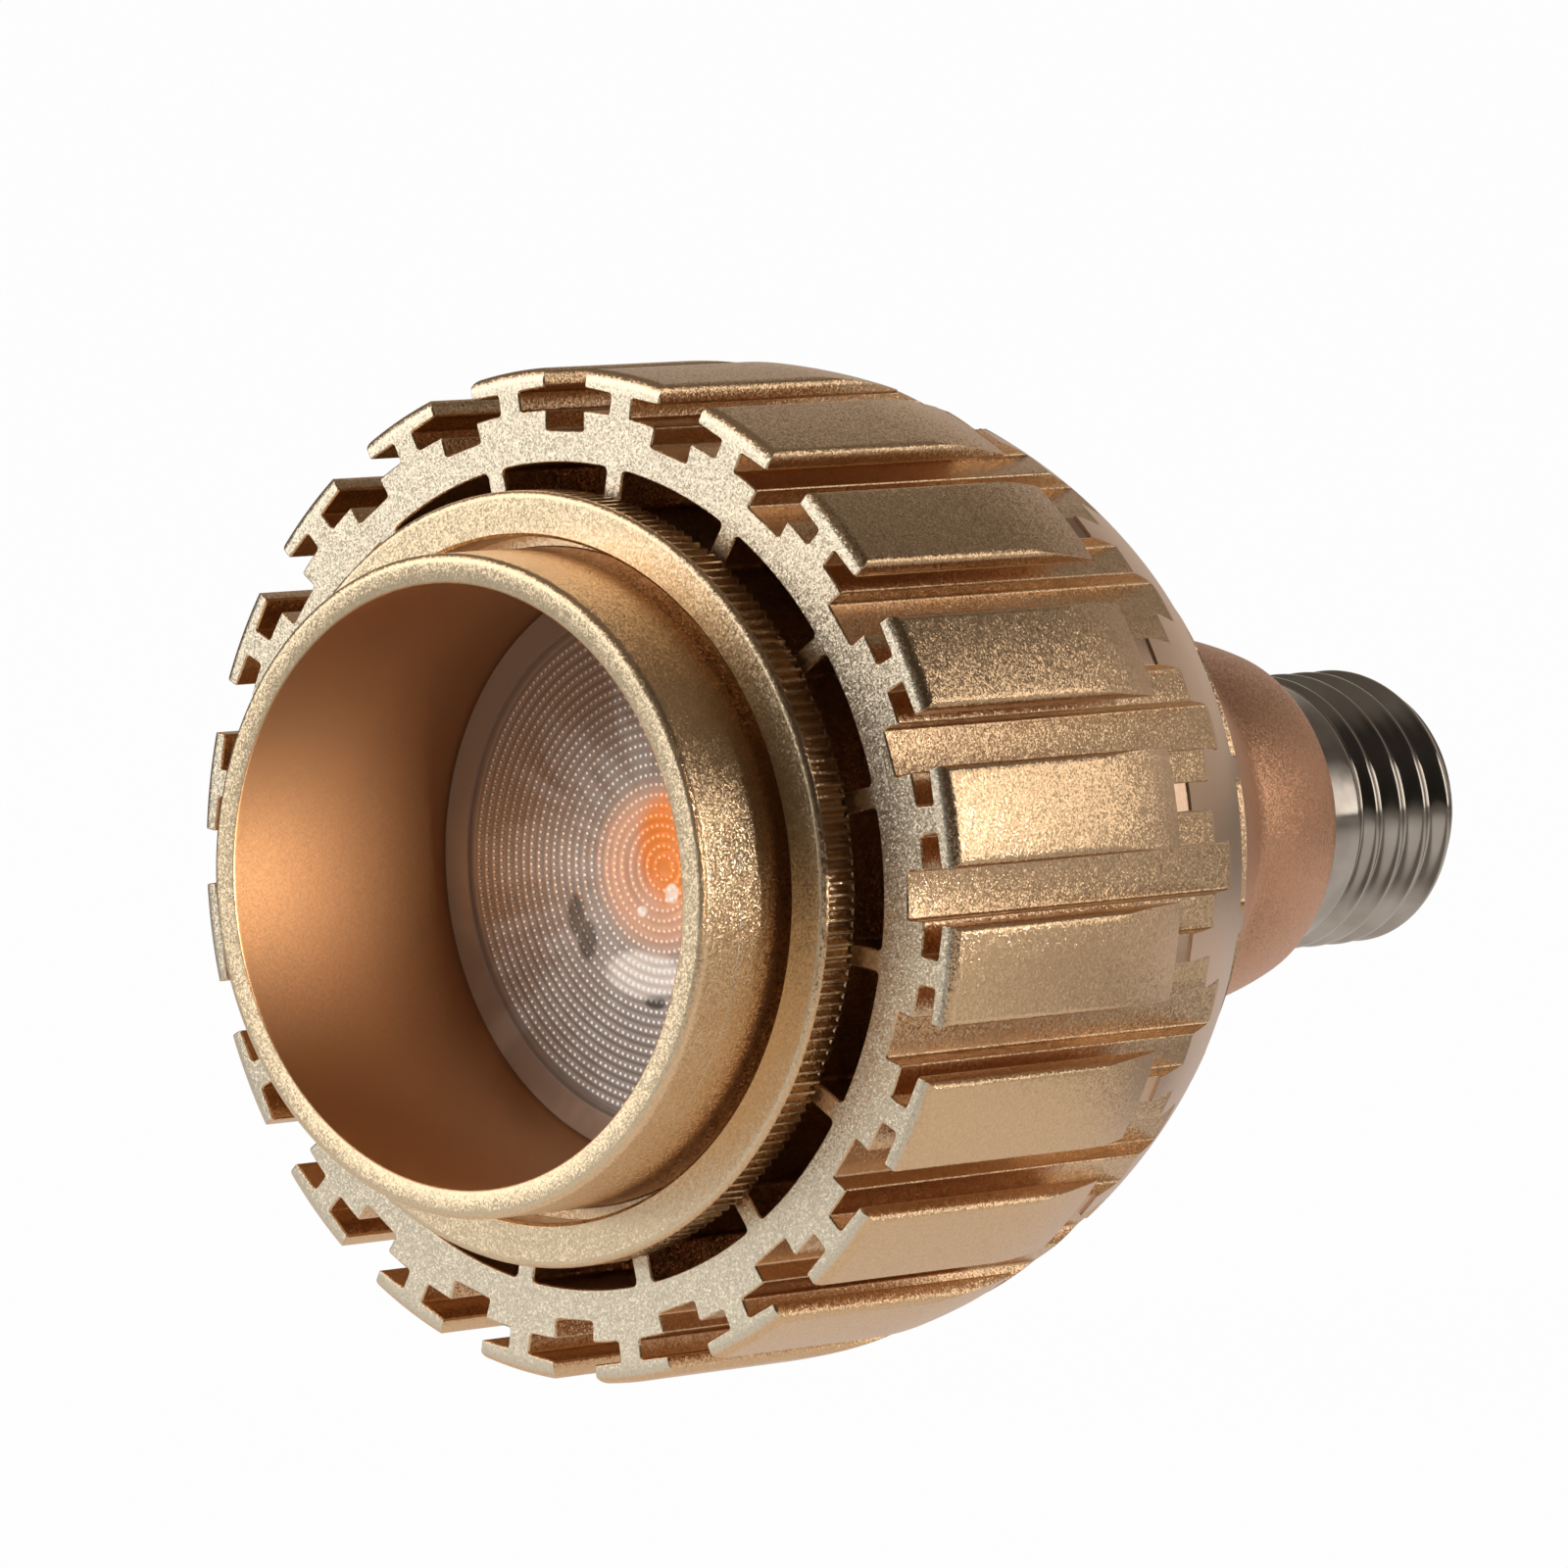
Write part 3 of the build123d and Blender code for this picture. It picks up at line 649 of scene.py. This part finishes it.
class Finish(Shader):
    """One material."""

    def __init__(self, name):
        self.material = bpy.data.materials.new(name)
        super().__init__(self.material, "Object")
        self.surface = self.nodes["Principled BSDF"]

    def bump(self, height, depth, strength):
        node = self.nodes.new("ShaderNodeBump")
        self.put(node.inputs["Height"], height)
        self.put(node.inputs["Distance"], depth * MM)
        self.put(node.inputs["Strength"], strength)
        return node.outputs["Normal"]

    def grains(self, size, tilt, after=None):
        """Small flat grains, each tilted its own way, as blasting leaves them."""
        cells = self.nodes.new("ShaderNodeTexVoronoi")
        self.put(cells.inputs["Vector"], self.place)
        self.put(cells.inputs["Scale"], 1 / (size * MM))
        lean = self.nodes.new("ShaderNodeVectorMath")
        lean.operation = "SUBTRACT"
        self.put(lean.inputs[0], cells.outputs["Color"])
        self.put(lean.inputs[1], (0.5, 0.5, 0.5))
        share = self.nodes.new("ShaderNodeVectorMath")
        share.operation = "SCALE"
        self.put(share.inputs[0], lean.outputs[0])
        self.put(share.inputs["Scale"], tilt)
        total = self.nodes.new("ShaderNodeVectorMath")
        total.operation = "ADD"
        self.put(total.inputs[0], after or self.nodes.new("ShaderNodeNewGeometry").outputs["Normal"])
        self.put(total.inputs[1], share.outputs[0])
        even = self.nodes.new("ShaderNodeVectorMath")
        even.operation = "NORMALIZE"
        self.put(even.inputs[0], total.outputs[0])
        return even.outputs[0]

    def soft_edges(self, radius):
        node = self.nodes.new("ShaderNodeBevel")
        node.samples = 4
        self.put(node.inputs["Radius"], radius * MM)
        return node.outputs["Normal"]

    def axis_places(self):
        """Distance behind the front face and radius in millimetres, then x and z in metres."""
        x, y, z = self.split(self.place)
        behind = self.math("MULTIPLY_ADD", y, 1 / MM, -FACE_Y)
        square = self.math("ADD", self.math("MULTIPLY", x, x), self.math("MULTIPLY", z, z))
        radius = self.math("MULTIPLY", self.math("SQRT", square), 1 / MM)
        return behind, radius, x, z

    def finish(self, **sockets):
        for name, value in sockets.items():
            self.put(self.surface.inputs[name.replace("_", " ")], value)
        return self.material


GOLD = (0.84, 0.55, 0.31, 1)
# Paler gold for the faces that look forwards: a painted highlight.
GOLD_FRONT_HIGHLIGHT = (0.86, 0.68, 0.45, 1)


def forwards(shader, low, high):
    """Share of 1 where the surface looks forwards, to 0 where it looks sideways."""
    facing = shader.split(shader.nodes.new("ShaderNodeNewGeometry").outputs["Normal"])
    return shader.ramp(shader.math("MULTIPLY", facing["Y"], -1.0), low, high)


def gold_colour(gold, body=GOLD, front=GOLD_FRONT_HIGHLIGHT):
    """Paler on the faces that look forwards, a painted highlight for the light they catch, with a little
    unevenness.
    """
    colour = gold.mix(forwards(gold, 0.75, 0.97), body, front)
    speck = gold.ramp(gold.noise(0.26, 2.0), 0.3, 0.7, 0.85, 1.0)
    return gold.shade(colour, speck)


def blasted_normal(gold, share=1.0):
    """Fine grain of the blasting, over softened edges."""
    depth = gold.ramp(forwards(gold, 0.75, 0.97), 0.0, 1.0, 0.31, 0.2)
    return gold.grains(0.14, gold.math("MULTIPLY", share, depth), gold.soft_edges(0.12))


def gold_blasted(name):
    """Anodised aluminium blasted with fine sand."""
    gold = Finish(name)
    return gold.finish(Base_Color=gold_colour(gold), Metallic=1.0, Roughness=0.3, Normal=blasted_normal(gold))


def gold_heat_sink():
    """Blasted all over, except where the lathe cut the dome: smooth there."""
    gold = Finish("heat sink gold")
    behind, radius, _, _ = gold.axis_places()
    run = gold.math("SUBTRACT", behind, DOME_START)
    square = gold.math("MULTIPLY", run, run)
    height = gold.math("SQRT", gold.math("SUBTRACT", DOME_RADIUS ** 2, square))
    outline = gold.math("ADD", height, BODY_RADIUS - DOME_RADIUS)
    on_dome = gold.ramp(gold.math("SUBTRACT", radius, outline), -0.12, -0.05)
    from_relief = gold.math("ABSOLUTE", gold.math("SUBTRACT", behind, (FIN_CAP_END + RELIEF_END) / 2))
    on_relief = gold.ramp(from_relief, 1.45, 1.6, 1.0, 0.0)
    on_relief = gold.math("MULTIPLY", on_relief, gold.ramp(radius, 43.2, 43.4))
    turned_share = gold.math("MULTIPLY", on_dome, gold.ramp(behind, 25.0, 33.0, 0.0, 0.5))
    behind_relief = gold.math("MULTIPLY", on_dome, gold.ramp(behind, 35.4, RELIEF_END))
    turned_share = gold.math("MAXIMUM", turned_share, behind_relief)
    turned_share = gold.math("MAXIMUM", turned_share, on_relief)
    # The paler colour on the faces that look forwards is a painted highlight.
    blasted = gold_colour(gold, front=(0.82, 0.71, 0.54, 1))
    colour = gold.mix(turned_share, blasted, (0.72, 0.48, 0.32, 1))
    rough = gold.ramp(turned_share, 0.0, 1.0, 0.30, 0.34)
    normal = blasted_normal(gold, gold.ramp(turned_share, 0.0, 1.0, 1.0, 0.15))
    return gold.finish(Base_Color=colour, Metallic=1.0, Roughness=rough, Normal=normal)


def gold_hood():
    """Blasted gold outside with pale scale marks, and a warmer matt finish inside, whose darker colour is
    partly painted shade in the deep bore.
    """
    gold = Finish("hood gold")
    behind, radius, x, z = gold.axis_places()
    in_bore = gold.ramp(radius, 27.2, 27.35, 1.0, 0.0)
    # Inside the bore: a warmer matt colour, made darker in part as painted shade of the deep bore.
    colour = gold.mix(in_bore, gold_colour(gold, (0.90, 0.60, 0.34, 1)), (0.58, 0.345, 0.18, 1))
    clock = gold.math("ARCTAN2", z, x)
    from_mark = gold.math("ADD", behind, MARK_DISTANCE)
    line = gold.ramp(gold.math("ABSOLUTE", from_mark), 0.05, 0.09, 1.0, 0.0)
    from_line_middle = gold.math("ABSOLUTE", gold.math("ADD", clock, LINE_HALF_SPAN))
    span = gold.ramp(from_line_middle, LINE_HALF_SPAN - 0.005, LINE_HALF_SPAN, 1.0, 0.0)
    line = gold.math("MULTIPLY", line, span)
    from_nought = gold.math("SUBTRACT", clock, NOUGHT_ANGLE)
    arc = gold.math("MULTIPLY", from_nought, HOOD_RADIUS / NOUGHT_HALF_HEIGHT)
    along = gold.math("DIVIDE", from_mark, NOUGHT_HALF_WIDTH)
    square = gold.math("ADD", gold.math("MULTIPLY", arc, arc), gold.math("MULTIPLY", along, along))
    spread = gold.math("SQRT", square)
    nought = gold.ramp(gold.math("ABSOLUTE", gold.math("SUBTRACT", spread, 1.0)), 0.12, 0.2, 1.0, 0.0)
    on_tube = gold.ramp(radius, 29.5, 29.7)
    mark = gold.math("MULTIPLY", gold.math("MAXIMUM", line, nought), on_tube)
    colour = gold.mix(gold.math("MULTIPLY", mark, 0.7), colour, (0.85, 0.80, 0.70, 1))
    outside = gold.ramp(radius, 29.3, 29.6)
    rougher = gold.ramp(in_bore, 0.0, 1.0, 0.0, 0.15)
    rough = gold.math("ADD", gold.ramp(outside, 0.0, 1.0, 0.30, 0.33), rougher)
    smoother = gold.ramp(in_bore, 0.0, 1.0, 0.0, 0.75)
    share = gold.math("SUBTRACT", gold.ramp(outside, 0.0, 1.0, 1.0, 0.95), smoother)
    normal = blasted_normal(gold, share)
    return gold.finish(Base_Color=colour, Metallic=1.0, Roughness=rough, Normal=normal)


def rose_lacquer():
    """Metallic lacquer on moulded plastic, with a fine flake."""
    rose = Finish("rose lacquer")
    flake = rose.ramp(rose.noise(0.25, 2.0), 0.3, 0.7)
    colour = rose.mix(flake, (0.67, 0.33, 0.18, 1), (0.78, 0.42, 0.24, 1))
    normal = rose.grains(0.15, 0.28)
    return rose.finish(Base_Color=colour, Metallic=0.9, Roughness=0.41, Normal=normal)


def nickel():
    """Plated sheet, rolled a little uneven."""
    metal = Finish("bright nickel")
    rough = metal.ramp(metal.noise(3.0, 4.0), 0.3, 0.7, 0.12, 0.20)
    patches = metal.ramp(metal.noise(5.0, 3.0), 0.3, 0.7)
    colour = metal.mix(patches, (0.41, 0.345, 0.285, 1), (0.52, 0.45, 0.38, 1))
    normal = metal.bump(metal.noise(2.5, 1.0), 0.012, 0.5)
    return metal.finish(Base_Color=colour, Metallic=1.0, Roughness=rough, Normal=normal)


def spot(clear, places, centre, reach):
    """Soft oval round a place on the lens, in millimetres."""
    square = 0.0
    for place, middle, size in zip(places, centre, reach):
        off = clear.math("MULTIPLY_ADD", place, 1 / (size * MM), -middle / size)
        square = clear.math("MULTIPLY_ADD", off, off, square)
    return clear.ramp(square, 0.35, 1.0, 1.0, 0.0)


def reflector_with_painted_light(clear, dark, light):
    """What shows through the lens, and the radius: reflector, streaks and the LED holder's clips, with
    painted light: lighter towards the lower right, darker outwards, and a pale painted patch low on the lens.
    """
    _, radius, x, z = clear.axis_places()
    # Painted light: lighter towards the lower right, and darker outwards past 10 mm.
    towards_light = clear.math("MULTIPLY_ADD", z, -0.5 / MM, clear.math("MULTIPLY", x, 0.5 / MM))
    past_middle = clear.math("MAXIMUM", clear.math("SUBTRACT", radius, 10.0), 0.0)
    outwards = clear.math("MULTIPLY", past_middle, -0.8)
    clock = clear.math("ARCTAN2", z, x)
    streaks = clear.nodes.new("ShaderNodeCombineXYZ")
    clear.put(streaks.inputs[0], clear.math("MULTIPLY", clear.math("COSINE", clock), 0.012))
    clear.put(streaks.inputs[1], clear.math("MULTIPLY", clear.math("SINE", clock), 0.012))
    clear.put(streaks.inputs[2], clear.math("MULTIPLY", radius, 0.0003))
    wisps = clear.ramp(clear.noise(2.2, 2.0, streaks.outputs[0]), 0.35, 0.65, -3.0, 3.0)
    share = clear.math("ADD", clear.math("ADD", towards_light, outwards), wisps)
    colour = clear.mix(clear.ramp(share, -22.0, 3.0), dark, light)
    clips = 0.0
    for centre, reach in (
        ((-10.5, -4.8), (1.3, 2.4)),
        ((-9.2, -7.0), (1.4, 2.3)),
        ((-0.9, -12.3), (1.5, 0.8)),
    ):
        clips = clear.math("MAXIMUM", clips, spot(clear, (x, z), centre, reach))
    colour = clear.mix(clear.math("MULTIPLY", clips, 0.75), colour, (0.03, 0.027, 0.018, 1))
    # A pale patch low on the lens: painted light.
    bright = spot(clear, (x, z), (-2.2, -9.8), (5.5, 2.6))
    return clear.mix(clear.math("MULTIPLY", bright, 0.75), colour, (0.95, 0.92, 0.88, 1)), radius


def light_source(clear, colour, orange):
    """The orange source, seen off the axis, and two small painted white reflections."""
    _, _, x, z = clear.axis_places()
    colour = clear.mix(spot(clear, (x, z), (1.0, 1.8), (4.9, 6.0)), colour, orange)
    share = 0.0
    # Two painted reflections: small white spots.
    for centre, reach in (((0.9, -2.3), (1.0, 1.1)), ((-2.5, -4.1), (0.7, 0.6))):
        share = clear.math("MAXIMUM", share, spot(clear, (x, z), centre, reach))
    return clear.mix(clear.math("MULTIPLY", share, 0.85), colour, (1.0, 0.96, 0.88, 1))


def lens_clear():
    """Clear plastic over the reflector, with the warm light source in the middle, painted on an opaque
    surface that glows a little: painted light for what the clear lens gathers.
    """
    clear = Finish("lens plastic")
    field, radius = reflector_with_painted_light(clear, (0.18, 0.11, 0.073, 1), (0.43, 0.39, 0.36, 1))
    rings_in = clear.math("DIVIDE", clear.math("SUBTRACT", BEAD_RINGS[0], radius), BEAD_RING_GAP)
    phase = clear.math("SUBTRACT", clear.math("FRACT", rings_in), 0.5)
    from_gap = clear.math("ABSOLUTE", phase)
    between = clear.ramp(from_gap, 0.05, 0.3, 1.0, 0.0)
    between = clear.math("MULTIPLY", between, clear.ramp(radius, 9.0, 17.0, 0.1, 0.45))
    field = clear.mix(between, field, (0.05, 0.03, 0.02, 1))
    # Lighter along the bead rings at larger radii: a painted highlight on the rings' ridges.
    rope_highlights = clear.ramp(from_gap, 0.32, 0.46)
    rope_highlights = clear.math("MULTIPLY", rope_highlights, clear.ramp(radius, 13.5, 18.0, 0.0, 0.3))
    field = clear.mix(rope_highlights, field, (0.42, 0.32, 0.25, 1))
    peach = clear.mix(clear.ramp(radius, 5.8, 9.0), (0.74, 0.46, 0.32, 1), field)
    orange = light_source(clear, peach, (0.93, 0.30, 0.06, 1))
    flange, _ = reflector_with_painted_light(clear, (0.14, 0.085, 0.055, 1), (0.33, 0.235, 0.18, 1))
    frosted = clear.mix(clear.ramp(radius, 24.05, 24.15), orange, flange)
    # Darker in the groove round the lens: painted shade.
    groove = clear.ramp(clear.math("ABSOLUTE", clear.math("SUBTRACT", radius, 23.65)), 0.3, 0.5, 1.0, 0.0)
    colour = clear.mix(clear.math("MULTIPLY", groove, 0.6), frosted, (0.10, 0.06, 0.04, 1))
    rough = clear.ramp(radius, 24.0, 24.2, 0.25, 0.4)
    clear.finish(Base_Color=colour, Roughness=rough, IOR=1.49, Coat_Weight=0.15, Coat_Roughness=0.1)
    # The glow is painted light, standing in for the light the clear lens gathers from the reflector.
    return clear.finish(Emission_Color=colour, Emission_Strength=0.35)


def bead_clear():
    """The beads carry a painted highlight, a pale dot where they face forwards, and glow a little: painted
    light for what the clear beads gather.
    """
    clear = Finish("lens beads")
    edge, radius = reflector_with_painted_light(clear, (0.10, 0.06, 0.04, 1), (0.34, 0.31, 0.28, 1))
    painted_glint, _ = reflector_with_painted_light(clear, (0.30, 0.21, 0.15, 1), (1.0, 1.0, 1.0, 1))
    warm = clear.ramp(radius, 5.8, 9.0, 1.0, 0.0)
    edge = clear.mix(warm, edge, (0.66, 0.38, 0.26, 1))
    painted_glint = clear.mix(warm, painted_glint, (1.0, 0.78, 0.64, 1))
    edge = light_source(clear, edge, (0.80, 0.25, 0.05, 1))
    painted_glint = light_source(clear, painted_glint, (1.0, 0.55, 0.27, 1))
    # Pale where the bead faces forwards: a painted highlight.
    colour = clear.mix(forwards(clear, 0.88, 0.955), edge, painted_glint)
    clear.finish(Base_Color=colour, Roughness=0.15, IOR=1.49, Coat_Weight=0.5, Coat_Roughness=0.05)
    # The glow is painted light.
    return clear.finish(Emission_Color=colour, Emission_Strength=0.62)


def plain(name, dark, light, rough, metallic=0.0, size=0.8):
    """Even finish with a little variation, for the pieces inside."""
    stuff = Finish(name)
    colour = stuff.mix(stuff.ramp(stuff.noise(size, 3.0), 0.3, 0.7), dark, light)
    normal = stuff.bump(stuff.noise(size * 0.4, 2.0), 0.02, 0.4)
    return stuff.finish(Base_Color=colour, Metallic=metallic, Roughness=rough, Normal=normal)


def inner_finishes():
    return {
        "spring_steel": plain(
            "zinc plated steel", (0.42, 0.42, 0.43, 1), (0.58, 0.58, 0.58, 1), 0.32, 1.0, 1.5
        ),
        "bare_aluminium": plain(
            "machined aluminium", (0.68, 0.69, 0.70, 1), (0.80, 0.80, 0.81, 1), 0.38, 1.0, 1.0
        ),
        "white_plastic": plain("white plastic", (0.76, 0.75, 0.71, 1), (0.84, 0.83, 0.80, 1), 0.5),
        "phosphor": plain("phosphor", (0.85, 0.52, 0.10, 1), (0.92, 0.62, 0.16, 1), 0.4),
        "dark_plastic": plain("dark plastic", (0.022, 0.017, 0.014, 1), (0.035, 0.028, 0.023, 1), 0.6),
        "black_rubber": plain("black rubber", (0.012, 0.012, 0.012, 1), (0.022, 0.022, 0.022, 1), 0.7),
        "grey_rubber": plain("grey pad", (0.26, 0.27, 0.28, 1), (0.33, 0.34, 0.36, 1), 0.75),
        "copper_wire": plain("tinned copper", (0.62, 0.30, 0.16, 1), (0.76, 0.40, 0.24, 1), 0.3, 1.0),
        "board_green": plain("solder mask", (0.012, 0.09, 0.035, 1), (0.02, 0.13, 0.05, 1), 0.35, 0.0, 2.0),
        "tape_yellow": plain("winding tape", (0.62, 0.42, 0.03, 1), (0.72, 0.50, 0.05, 1), 0.35, 0.0, 1.5),
        "capacitor_sleeve": plain("shrink sleeve", (0.006, 0.008, 0.03, 1), (0.01, 0.013, 0.045, 1), 0.25),
        "capacitor_box": plain("capacitor box", (0.28, 0.015, 0.008, 1), (0.36, 0.02, 0.012, 1), 0.3),
        "ferrite": plain("ferrite", (0.018, 0.018, 0.018, 1), (0.035, 0.034, 0.033, 1), 0.6),
        "cap_black": plain("cap insulator", (0.008, 0.008, 0.009, 1), (0.015, 0.015, 0.016, 1), 0.18),
        "clear_plastic": plain("clear plastic", (0.42, 0.36, 0.32, 1), (0.5, 0.44, 0.4, 1), 0.2),
    }


# Studio

CAMERA_AZIMUTH = 41.223
CAMERA_ELEVATION = 4.26
CAMERA_DISTANCE = 1.2
SENSOR_WIDTH = 36
FOCAL_LENGTH_PIXELS = 13263.36
PHOTO_WIDTH_PIXELS = 1600
FLOOR_SEEN = 0.985
FLOOR_MIRRORED = 0.62
CARD_DARKNESS = 0.85


def place_camera():
    away = towards(CAMERA_AZIMUTH, CAMERA_ELEVATION)
    target = Vector((-4.954 * MM, back(35.0), 6.166 * MM))
    bpy.ops.object.camera_add(location=target + CAMERA_DISTANCE * away)
    camera = bpy.context.object
    camera.rotation_euler = away.to_track_quat("Z", "Y").to_euler()
    camera.data.sensor_width = SENSOR_WIDTH
    camera.data.lens = FOCAL_LENGTH_PIXELS / PHOTO_WIDTH_PIXELS * SENSOR_WIDTH
    camera.data.clip_start = 0.01
    camera.data.clip_end = 200
    bpy.context.scene.camera = camera


def place_floor():
    """White to the camera, with the object's shadow.

    Metal sees the near floor as light too, with a dark card beside the cap.
    """
    bpy.ops.object.select_all(action="DESELECT")
    bpy.ops.mesh.primitive_plane_add(size=80, location=(0, 0, cad_box[0].z))
    floor = bpy.context.object
    floor.name = "floor"
    settle(floor)
    white = Finish("white floor")
    path = white.nodes.new("ShaderNodeLightPath")
    reach = white.nodes.new("ShaderNodeVectorMath")
    reach.operation = "LENGTH"
    white.put(reach.inputs[0], white.place)
    near = white.ramp(reach.outputs["Value"], 0.12, 0.45, 1.0, 0.0)
    x, y, _ = white.split(white.place)
    beside = white.math("MULTIPLY", white.ramp(x, 0.015, 0.04), white.ramp(y, -0.045, -0.025))
    slanted = white.math("MULTIPLY_ADD", x, -0.2, y)
    card = white.math("MULTIPLY", beside, white.ramp(slanted, -0.005, 0.02, 1.0, 0.0))
    near = white.math("MULTIPLY", near, white.math("MULTIPLY_ADD", card, -CARD_DARKNESS, 1.0))
    mirrored = white.math("MULTIPLY", path.outputs["Is Glossy Ray"], near)
    seen = white.math("MAXIMUM", path.outputs["Is Camera Ray"], path.outputs["Is Transmission Ray"])
    seen = white.math("MULTIPLY", seen, FLOOR_SEEN)
    seen = white.math("MAXIMUM", seen, white.math("MULTIPLY", mirrored, FLOOR_MIRRORED))
    glow = white.nodes.new("ShaderNodeEmission")
    blend = white.nodes.new("ShaderNodeMixShader")
    white.put(blend.inputs[0], seen)
    white.put(blend.inputs[1], white.surface.outputs[0])
    white.put(blend.inputs[2], glow.outputs[0])
    white.put(white.nodes["Material Output"].inputs["Surface"], blend.outputs[0])
    white.finish(Base_Color=(0.6, 0.6, 0.6, 1), Roughness=0.9, Specular_IOR_Level=0.0)
    floor.data.materials.append(white.material)


def light_studio():
    """Dim room, lighter low at the back and dark to the right, with its lamps."""
    world = bpy.data.worlds.new("studio")
    bpy.context.scene.world = world
    room = Shader(world, "Generated")
    x, y, z = room.split(room.place)
    strength = room.ramp(z, 0.1, 0.6, 0.08, 0.16)
    low_back = room.math("MULTIPLY", room.ramp(y, 0.45, 0.85), room.ramp(z, 0.05, 0.65, 1.0, 0.0))
    left_back = room.math("MULTIPLY", room.ramp(y, 0.45, 0.85), room.ramp(x, -0.4, -0.05, 1.0, 0.0))
    strength = room.math("MULTIPLY_ADD", low_back, 0.42, strength)
    strength = room.math("MULTIPLY_ADD", left_back, 0.22, strength)
    strength = room.math("MULTIPLY", strength, room.ramp(x, 0.15, 0.55, 1.0, 0.25))
    background = room.nodes["Background"]
    room.put(background.inputs["Color"], (1.0, 0.92, 0.83, 1))
    room.put(background.inputs["Strength"], strength)
    place_softbox("left softbox", -42, 22, 1.0, (0.9, 1.2), 5.8)
    place_softbox("rear softbox", 131, 14, 1.0, (0.5, 0.5), 1.4)
    place_snoot("bore snoot", 65, 5, 0.6, (-27.1, -11.5, 0.5), 3.0, 0.012, 100.0, (1.0, 0.86, 0.72))
    place_snoot("hood snoot", 118, 4, 0.7, (29.8, -17.5, 0.0), 2.2, 0.02, 14.5, (0.92, 0.96, 1.0))


def towards(azimuth, elevation):
    """Direction from the bulb, counted as the camera's is: 0 in front of the hood, 90 to its right."""
    around, up = math.radians(azimuth), math.radians(elevation)
    return Vector((math.sin(around) * math.cos(up), -math.cos(around) * math.cos(up), math.sin(up)))


def place_snoot(name, azimuth, elevation, distance, target, spread, radius, watts, colour):
    """Narrow beam onto one place, given by its x, distance and z."""
    away = towards(azimuth, elevation)
    x, behind, z = target
    bpy.ops.object.light_add(type="SPOT", location=Vector((x * MM, back(behind), z * MM)) + distance * away)
    lamp = bpy.context.object
    lamp.name = name
    lamp.data.spot_size = math.radians(spread)
    lamp.data.spot_blend = 1.0
    lamp.data.shadow_soft_size = radius
    lamp.data.color = colour
    lamp.data.energy = watts
    lamp.rotation_euler = away.to_track_quat("Z", "Y").to_euler()


def place_softbox(name, azimuth, elevation, distance, size, watts):
    """Softbox that looks at the bulb."""
    away = towards(azimuth, elevation)
    bpy.ops.object.light_add(type="AREA", location=Vector((0, back(40), 0)) + distance * away)
    lamp = bpy.context.object
    lamp.name = name
    lamp.data.shape = "RECTANGLE"
    lamp.data.size, lamp.data.size_y = size
    lamp.data.energy = watts
    lamp.rotation_euler = away.to_track_quat("Z", "Y").to_euler()


# Putting it together

def dress(piece, node, body, material, hide=True):
    piece.data.materials.clear()
    piece.data.materials.append(material)
    if hide:
        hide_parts(node)
    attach(piece, body)


def set_view():
    scene = bpy.context.scene
    scene.view_settings.view_transform = "Standard"


set_view()
place_camera()
place_floor()
light_studio()

gold_plain = gold_blasted("ring gold")
metal = nickel()
finishes = inner_finishes()
dress(make_heat_sink(), "heat_sink", "bulb", gold_heat_sink())
dress(make_knurled_ring(), "knurled_ring", "ring", gold_plain)
dress(make_hood(), "hood", "hood", gold_hood())
dress(make_lens(), "lens", "hood", lens_clear())
dress(make_beads(), "lens", "hood", bead_clear(), hide=False)
dress(make_neck(), "neck_housing", "bulb", rose_lacquer())
dress(make_screw_shell(), "screw_shell", "bulb", metal)
dress(make_insulator(), "cap_insulator", "bulb", finishes["cap_black"])
dress(make_contact(), "centre_contact", "bulb", metal)

slots = {part["node"]: part["material_slot"] for part in frame["record"]["subparts"]}
for node, piece in frame["nodes"].items():
    finish = finishes.get(slots[node])
    if finish is not None:
        piece.data.materials.clear()
        piece.data.materials.append(finish)
